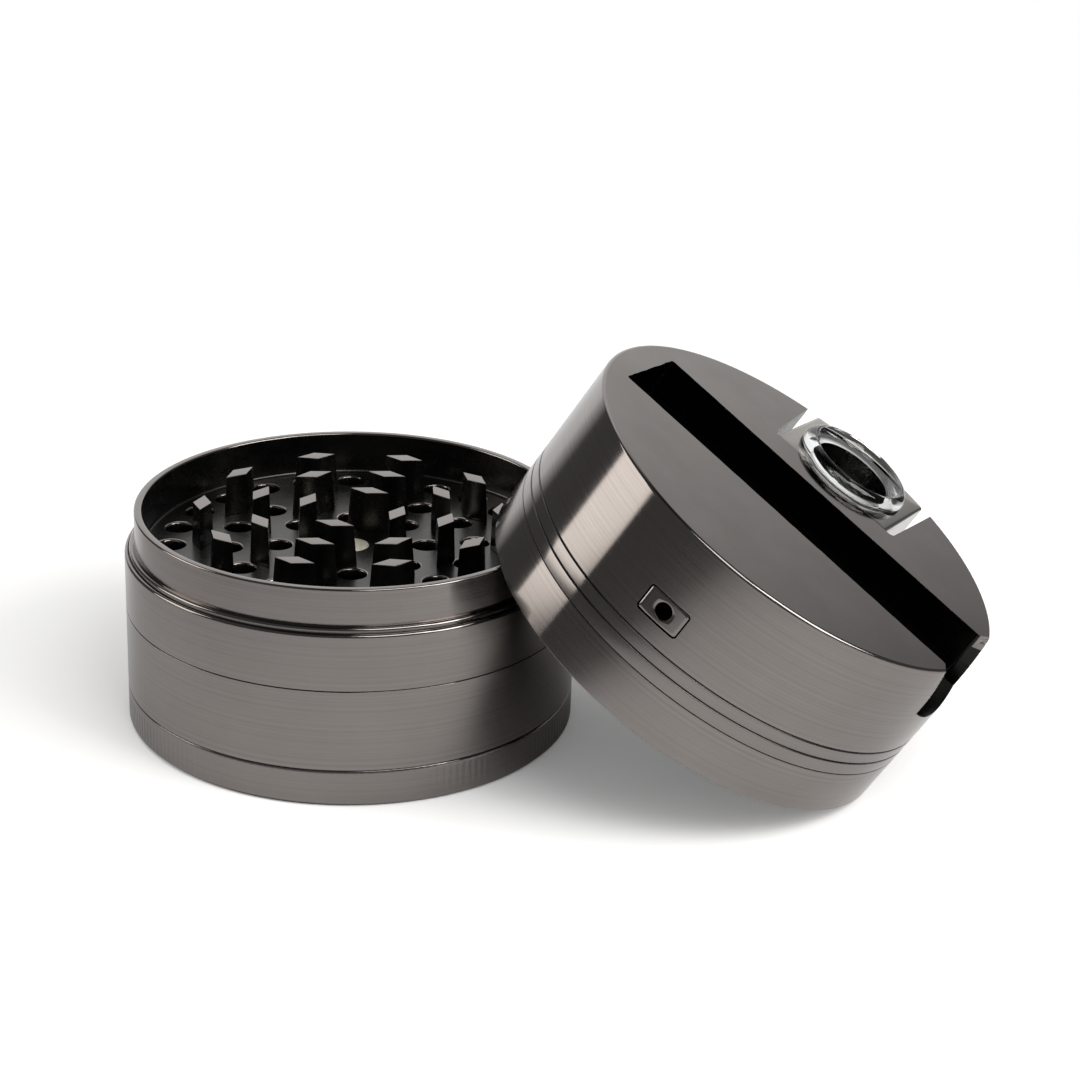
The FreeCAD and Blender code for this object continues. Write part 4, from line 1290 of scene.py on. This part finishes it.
    def scoop(self, sizes):
        """Cutter for the finger scoop: round at the bottom, its sides curving out from the slot's walls."""
        middle, half = (SLOT_NEAR + SLOT_FAR) / 2, (SLOT_FAR - SLOT_NEAR) / 2
        low = sizes.lid_height - sizes.scoop_depth
        foot, climb = low + SCOOP_RISE, sizes.scoop_depth - SCOOP_RISE
        radius = (half ** 2 + SCOOP_RISE ** 2) / (2 * SCOOP_RISE)
        swing = math.degrees(math.asin(half / radius))
        bottom = arc((0.0, low + radius), radius, 270 - swing, 270 + swing, SCOOP_STEPS)
        bend = arc((0.0, SCOOP_ROUND), SCOOP_ROUND, -90, SCOOP_TURN - 90)
        spread = bend[-1][1] + (SCOOP_REACH - bend[-1][0]) * math.tan(math.radians(SCOOP_TURN))
        rings = []
        for out, flare in [*bend, (SCOOP_REACH, spread)]:
            parts = [step / SCOOP_STEPS for step in range(1, SCOOP_STEPS + 1)]
            side = [(half + flare * part ** SCOOP_LEAN, foot + climb * part) for part in parts]
            side.append((half + flare, sizes.lid_height + OVERSHOOT))
            profile = [*bottom, *side, *((-across, height) for across, height in reversed(side))]
            rings.append([(SCOOP_START + out, middle + across, height) for across, height in profile])
        return ringed_mesh("scoop", rings, flat_ends=True)


class GRINDER_OT_slip_ring(bpy.types.Operator):
    """Nylon ring up inside the lid, which the collar's rim turns on"""

    bl_idname = "grinder.slip_ring"
    bl_label = "Slip ring"

    def execute(self, context):
        top = SLIP_LEDGE - CLOSE_GAP
        section = rounded_rectangle((SLIP_INNER_R, top - SLIP_THICK), (LID_BORE_R - 2 * CLOSE_GAP, top),
                                    EDGE_EASE, 3)
        piece = new_piece("slip_washer", turned_mesh("slip_washer", section))
        dressed(piece, [finish_named("slip_nylon")])
        to_frame(piece, "slip_ring", leaning=True)
        return {"FINISHED"}


class GRINDER_OT_mouthpiece(bpy.types.Operator):
    """Flat mouthpiece with its air bore, and the pin that stops it"""

    bl_idname = "grinder.mouthpiece"
    bl_label = "Mouthpiece and pin"

    def execute(self, context):
        sizes = context.scene.grinder_sizes
        piece = new_piece("mouthpiece_bar", ringed_mesh("mouthpiece_bar", self.rings(sizes.bore_r)))
        low = AIR_Z - MOUTH_HALF_HIGH
        stop = rounded_rectangle((AIR_X - PIN_SLOT_HALF, PIN_Y - PIN_SLOT_HALF),
                                 (AIR_X + PIN_SLOT_HALF, PIN_Y + MOUTH_TRAVEL + PIN_SLOT_HALF),
                                 PIN_SLOT_HALF - CLOSE_GAP)
        carved(piece, [prism_mesh("stop", stop, low - OVERSHOOT, low + PIN_SLOT_DEPTH)])
        dressed(piece, [finish_named("cast_plating_and_shade"), finish_named("satin_plating")],
                lambda centre, normal: 1 if normal.y < -FLAT_TILT else 0)
        to_frame(piece, "mouthpiece", leaning=True)
        pin = rod_mesh("mouthpiece_pin", PIN_R, (AIR_X, PIN_Y, LID_SPIGOT_TOP + 2 * CLOSE_GAP),
                       (AIR_X, PIN_Y, low + PIN_BITE), FINE_BEVEL)
        pin = dressed(new_piece("mouthpiece_pin", pin), [finish_named("magnet_nickel")])
        to_frame(pin, "mouthpiece_stop_pin", leaning=True)
        return {"FINISHED"}

    def rings(self, bore):
        """Rings of points out along the bore, over the rounded face and back along the sides."""
        half = (MOUTH_HALF_WIDE, MOUTH_HALF_HIGH)
        sides = rounded_rectangle((-half[0], -half[1]), half, MOUTH_CORNER)
        sides = divided(sides, MOUTH_FACE_STEP)
        turns = [math.atan2(z, x) for x, z in sides]
        hole = [(bore * math.cos(turn), bore * math.sin(turn)) for turn in turns]
        brim = [(x * (1 + BORE_EASE / bore), z * (1 + BORE_EASE / bore)) for x, z in hole]
        edge = [(x * (1 - FINE_BEVEL / half[0]), z * (1 - FINE_BEVEL / half[1])) for x, z in sides]

        def level(points, depth):
            return [(AIR_X + x, depth, AIR_Z + z) for x, z in points]

        def face(points, inward=0.0):
            return [(AIR_X + x, inward - math.sqrt(MOUTH_FACE_R ** 2 - (AIR_X + x) ** 2), AIR_Z + z)
                    for x, z in points]

        across = []
        for step in range(1, MOUTH_FACE_RINGS):
            part = step / MOUTH_FACE_RINGS
            points = [(a + (c - a) * part, b + (d - b) * part) for (a, b), (c, d) in zip(brim, edge)]
            across.append(face(points))
        return [level(hole, MOUTH_INNER_END), face(hole, BORE_EASE), face(brim), *across, face(edge),
                face(sides, FINE_BEVEL), level(sides, MOUTH_INNER_END)]


class GRINDER_OT_bowl_block(bpy.types.Operator):
    """Block that carries the glass bowl in the lid's notch"""

    bl_idname = "grinder.bowl_block"
    bl_label = "Bowl block"

    def execute(self, context):
        sizes = context.scene.grinder_sizes
        top, low = sizes.lid_height, NOTCH_FLOOR + BLOCK_FLOOR_GAP
        sides = self.outline()
        rings = [[(x, y, low) for x, y in sides]]
        for step in range(BLOCK_DOME_RINGS + 1):
            inward = step / BLOCK_DOME_RINGS
            scale, level = 1 - BLOCK_DOME_SPAN * inward, top - BLOCK_DOME * (1 - inward) ** 2
            rings.append([(BOWL_X + scale * (x - BOWL_X), BOWL_Y + scale * (y - BOWL_Y), level)
                          for x, y in sides])
        piece = new_piece("bowl_carrier", ringed_mesh("bowl_carrier", rings, flat_ends=True))
        eased(piece, BLOCK_EASE, 3)
        groove = turned_mesh("groove", [(SEAL_INNER_R - CLOSE_GAP, top - SEAL_THICK),
                                        (SEAL_OUTER_R + CLOSE_GAP, top - SEAL_THICK),
                                        (SEAL_OUTER_R + CLOSE_GAP, top + OVERSHOOT),
                                        (SEAL_INNER_R - CLOSE_GAP, top + OVERSHOOT)],
                             even_turn(SEAT_STEPS), centre=(BOWL_X, BOWL_Y))
        cutters = [
            rod_mesh("pocket", POCKET_R, (BOWL_X, BOWL_Y, POCKET_FLOOR), (BOWL_X, BOWL_Y, top + OVERSHOOT),
                     steps=SEAT_STEPS),
            groove,
            rod_mesh("drop", AIR_R, (BOWL_X, BOWL_Y, AIR_Z), (BOWL_X, BOWL_Y, top)),
            rod_mesh("passage", AIR_R, (AIR_X, 0, AIR_Z), (AIR_X, BOWL_Y, AIR_Z)),
            magnet_pair("seats", PAIR_MAGNET_R + CLOSE_GAP, 0.0, BLOCK_NEAR_Y + PAIR_MAGNET_THICK),
        ]
        carved(piece, cutters)

        def pick(centre, normal):
            # The pocket and the seal's groove get the dark plating as painted shade under the glass and the
            # seal.
            inside = math.hypot(centre.x - BOWL_X, centre.y - BOWL_Y) < SEAL_OUTER_R + 2 * CLOSE_GAP
            return 1 if inside and (normal.z < 0.5 or centre.z < top - SEAL_THICK / 2) else 0

        dressed(piece, [finish_named("bright_plating"), finish_named("cast_plating_and_shade")], pick)
        to_frame(piece, "bowl_block", leaning=True)
        return {"FINISHED"}

    def outline(self):
        """The block from above: square in front, round at the back, with rounded outer corners."""
        inner_r = BLOCK_R - BLOCK_CORNER
        right, left = BOWL_X + BLOCK_HALF - BLOCK_CORNER, BOWL_X - BLOCK_HALF + BLOCK_CORNER
        turn_right, turn_left = (math.degrees(math.acos(side / inner_r)) for side in (right, left))
        return [(left - BLOCK_CORNER, BLOCK_NEAR_Y), (right + BLOCK_CORNER, BLOCK_NEAR_Y),
                *arc((right, math.sqrt(inner_r ** 2 - right ** 2)), BLOCK_CORNER, 0, turn_right, 5),
                *arc((0.0, 0.0), BLOCK_R, turn_right, turn_left, 24)[1:-1],
                *arc((left, math.sqrt(inner_r ** 2 - left ** 2)), BLOCK_CORNER, turn_left, 180, 5)]


class GRINDER_OT_glass_bowl(bpy.types.Operator):
    """Thick clear glass bowl with a rounded rim"""

    bl_idname = "grinder.glass_bowl"
    bl_label = "Glass bowl"

    def execute(self, context):
        top = context.scene.grinder_sizes.lid_height
        rim = GLASS_SIDE[0]
        points = [(GLASS_HOLE_R, -GLASS_DEPTH), (GLASS_STEM_R - RIM_EASE, -GLASS_DEPTH),
                  (GLASS_STEM_R, -GLASS_DEPTH + RIM_EASE), (GLASS_STEM_R, CLOSE_GAP),
                  (rim - EDGE_EASE, CLOSE_GAP), (rim, CLOSE_GAP + EDGE_EASE), GLASS_SIDE,
                  *bulged(GLASS_SIDE, GLASS_CREST, GLASS_RIM_BULGE),
                  *bulged(GLASS_CREST, GLASS_LIP, GLASS_LIP_BULGE),
                  *bulged(GLASS_LIP, GLASS_DISH, GLASS_WALL_BULGE),
                  *bulged(GLASS_DISH, GLASS_HOLE_TOP, GLASS_DISH_BULGE)]
        outline = [(radius, top + height) for radius, height in points]
        mesh = turned_mesh("glass_bowl_clear", outline, even_turn(GLASS_STEPS), centre=(BOWL_X, BOWL_Y))
        piece = dressed(new_piece("glass_bowl_clear", mesh), [finish_named("pressed_glass")])
        to_frame(piece, "glass_bowl", leaning=True)
        return {"FINISHED"}


class GRINDER_OT_magnets(bpy.types.Operator):
    """Centre magnets of the chamber and the lid, and the two pairs that hold the block"""

    bl_idname = "grinder.magnets"
    bl_label = "Magnets"

    def execute(self, context):
        sizes = context.scene.grinder_sizes
        radius = sizes.magnet_r
        low = sizes.chamber_floor - MAGNET_THICK + CLOSE_GAP
        meshes = (
            ("chamber_magnet", rod_mesh("chamber_disc", radius, (0, 0, low),
                                        (0, 0, low + MAGNET_THICK), EDGE_EASE)),
            ("lid_magnet", rod_mesh("lid_disc", radius, (0, 0, POST_TIP),
                                    (0, 0, POST_TIP + LID_MAGNET_THICK - CLOSE_GAP), EDGE_EASE)),
            ("notch_magnets", magnet_pair("notch_discs", PAIR_MAGNET_R,
                                          NOTCH_WALL_Y - PAIR_MAGNET_THICK + CLOSE_GAP, NOTCH_WALL_Y,
                                          EDGE_EASE)),
            ("block_magnets", magnet_pair("block_discs", PAIR_MAGNET_R, BLOCK_NEAR_Y,
                                          BLOCK_NEAR_Y + PAIR_MAGNET_THICK - CLOSE_GAP, EDGE_EASE)),
        )
        for node, mesh in meshes:
            piece = dressed(new_piece(mesh.name, mesh), [finish_named("magnet_nickel")])
            to_frame(piece, node, leaning=node != "chamber_magnet")
        return {"FINISHED"}


class GRINDER_OT_seals(bpy.types.Operator):
    """Soft rings under the glass bowl and round the air passage"""

    bl_idname = "grinder.seals"
    bl_label = "Seals"

    def execute(self, context):
        top = context.scene.grinder_sizes.lid_height
        section = rounded_rectangle((SEAL_INNER_R, top - SEAL_THICK + CLOSE_GAP), (SEAL_OUTER_R, top),
                                    EDGE_EASE, 4)
        bowl = turned_mesh("bowl_ring", section, even_turn(GLASS_STEPS), centre=(BOWL_X, BOWL_Y))
        section = rounded_rectangle((AIR_SEAL_INNER_R, 0.0), (AIR_SEAL_OUTER_R, AIR_SEAL_THICK - CLOSE_GAP),
                                    EDGE_EASE, 4)
        air = turned_mesh("air_ring", section, even_turn(AIR_SEAL_STEPS))
        start = NOTCH_WALL_Y - AIR_SEAL_THICK + CLOSE_GAP
        air.transform(Matrix.Translation((AIR_X, start, AIR_Z)) @ Matrix.Rotation(-math.pi / 2, 4, "X"))
        for node, mesh in (("bowl_seal", bowl), ("air_seal", air)):
            piece = dressed(new_piece(mesh.name, mesh), [finish_named("black_silicone")])
            to_frame(piece, node, leaning=True)
        return {"FINISHED"}


PIECE_OPERATORS = (
    GRINDER_OT_stage, GRINDER_OT_kief_tray, GRINDER_OT_collection_chamber, GRINDER_OT_sieve,
    GRINDER_OT_grinding_chamber, GRINDER_OT_teeth, GRINDER_OT_lid_tooth_ring, GRINDER_OT_lid_cap,
    GRINDER_OT_slip_ring, GRINDER_OT_mouthpiece, GRINDER_OT_bowl_block, GRINDER_OT_glass_bowl,
    GRINDER_OT_magnets, GRINDER_OT_seals,
)


class GRINDER_PT_pieces(bpy.types.Panel):
    """Lists the grinder's pieces, finishes and stage"""

    bl_idname = "GRINDER_PT_pieces"
    bl_label = "Herb grinder"
    bl_space_type = "VIEW_3D"
    bl_region_type = "UI"
    bl_category = "Grinder"

    def draw(self, context):
        layout = self.layout
        for operator in PIECE_OPERATORS:
            layout.operator(operator.bl_idname)
        for group in (context.scene.grinder_sizes, context.scene.grinder_finish, context.scene.grinder_stage):
            box = layout.box()
            for key in group.bl_rna.properties.keys():
                if key not in ("rna_type", "name"):
                    box.prop(group, key)


CLASSES = (GrinderSizes, GrinderFinish, GrinderStage, *PIECE_OPERATORS, GRINDER_PT_pieces)


def register():
    """Adds the classes and the scene's settings."""
    for item in CLASSES:
        bpy.utils.register_class(item)
    bpy.types.Scene.grinder_sizes = PointerProperty(type=GrinderSizes)
    bpy.types.Scene.grinder_finish = PointerProperty(type=GrinderFinish)
    bpy.types.Scene.grinder_stage = PointerProperty(type=GrinderStage)


def unregister():
    """Takes the classes and the settings away again."""
    del bpy.types.Scene.grinder_stage
    del bpy.types.Scene.grinder_finish
    del bpy.types.Scene.grinder_sizes
    for item in reversed(CLASSES):
        bpy.utils.unregister_class(item)


def main():
    """Builds every piece in order."""
    register()
    bpy.ops.grinder.stage()
    bpy.ops.grinder.kief_tray()
    bpy.ops.grinder.collection_chamber()
    bpy.ops.grinder.sieve()
    bpy.ops.grinder.grinding_chamber()
    bpy.ops.grinder.teeth()
    bpy.ops.grinder.lid_tooth_ring()
    bpy.ops.grinder.lid_cap()
    bpy.ops.grinder.slip_ring()
    bpy.ops.grinder.mouthpiece()
    bpy.ops.grinder.bowl_block()
    bpy.ops.grinder.glass_bowl()
    bpy.ops.grinder.magnets()
    bpy.ops.grinder.seals()


if __name__ == "__main__":
    main()
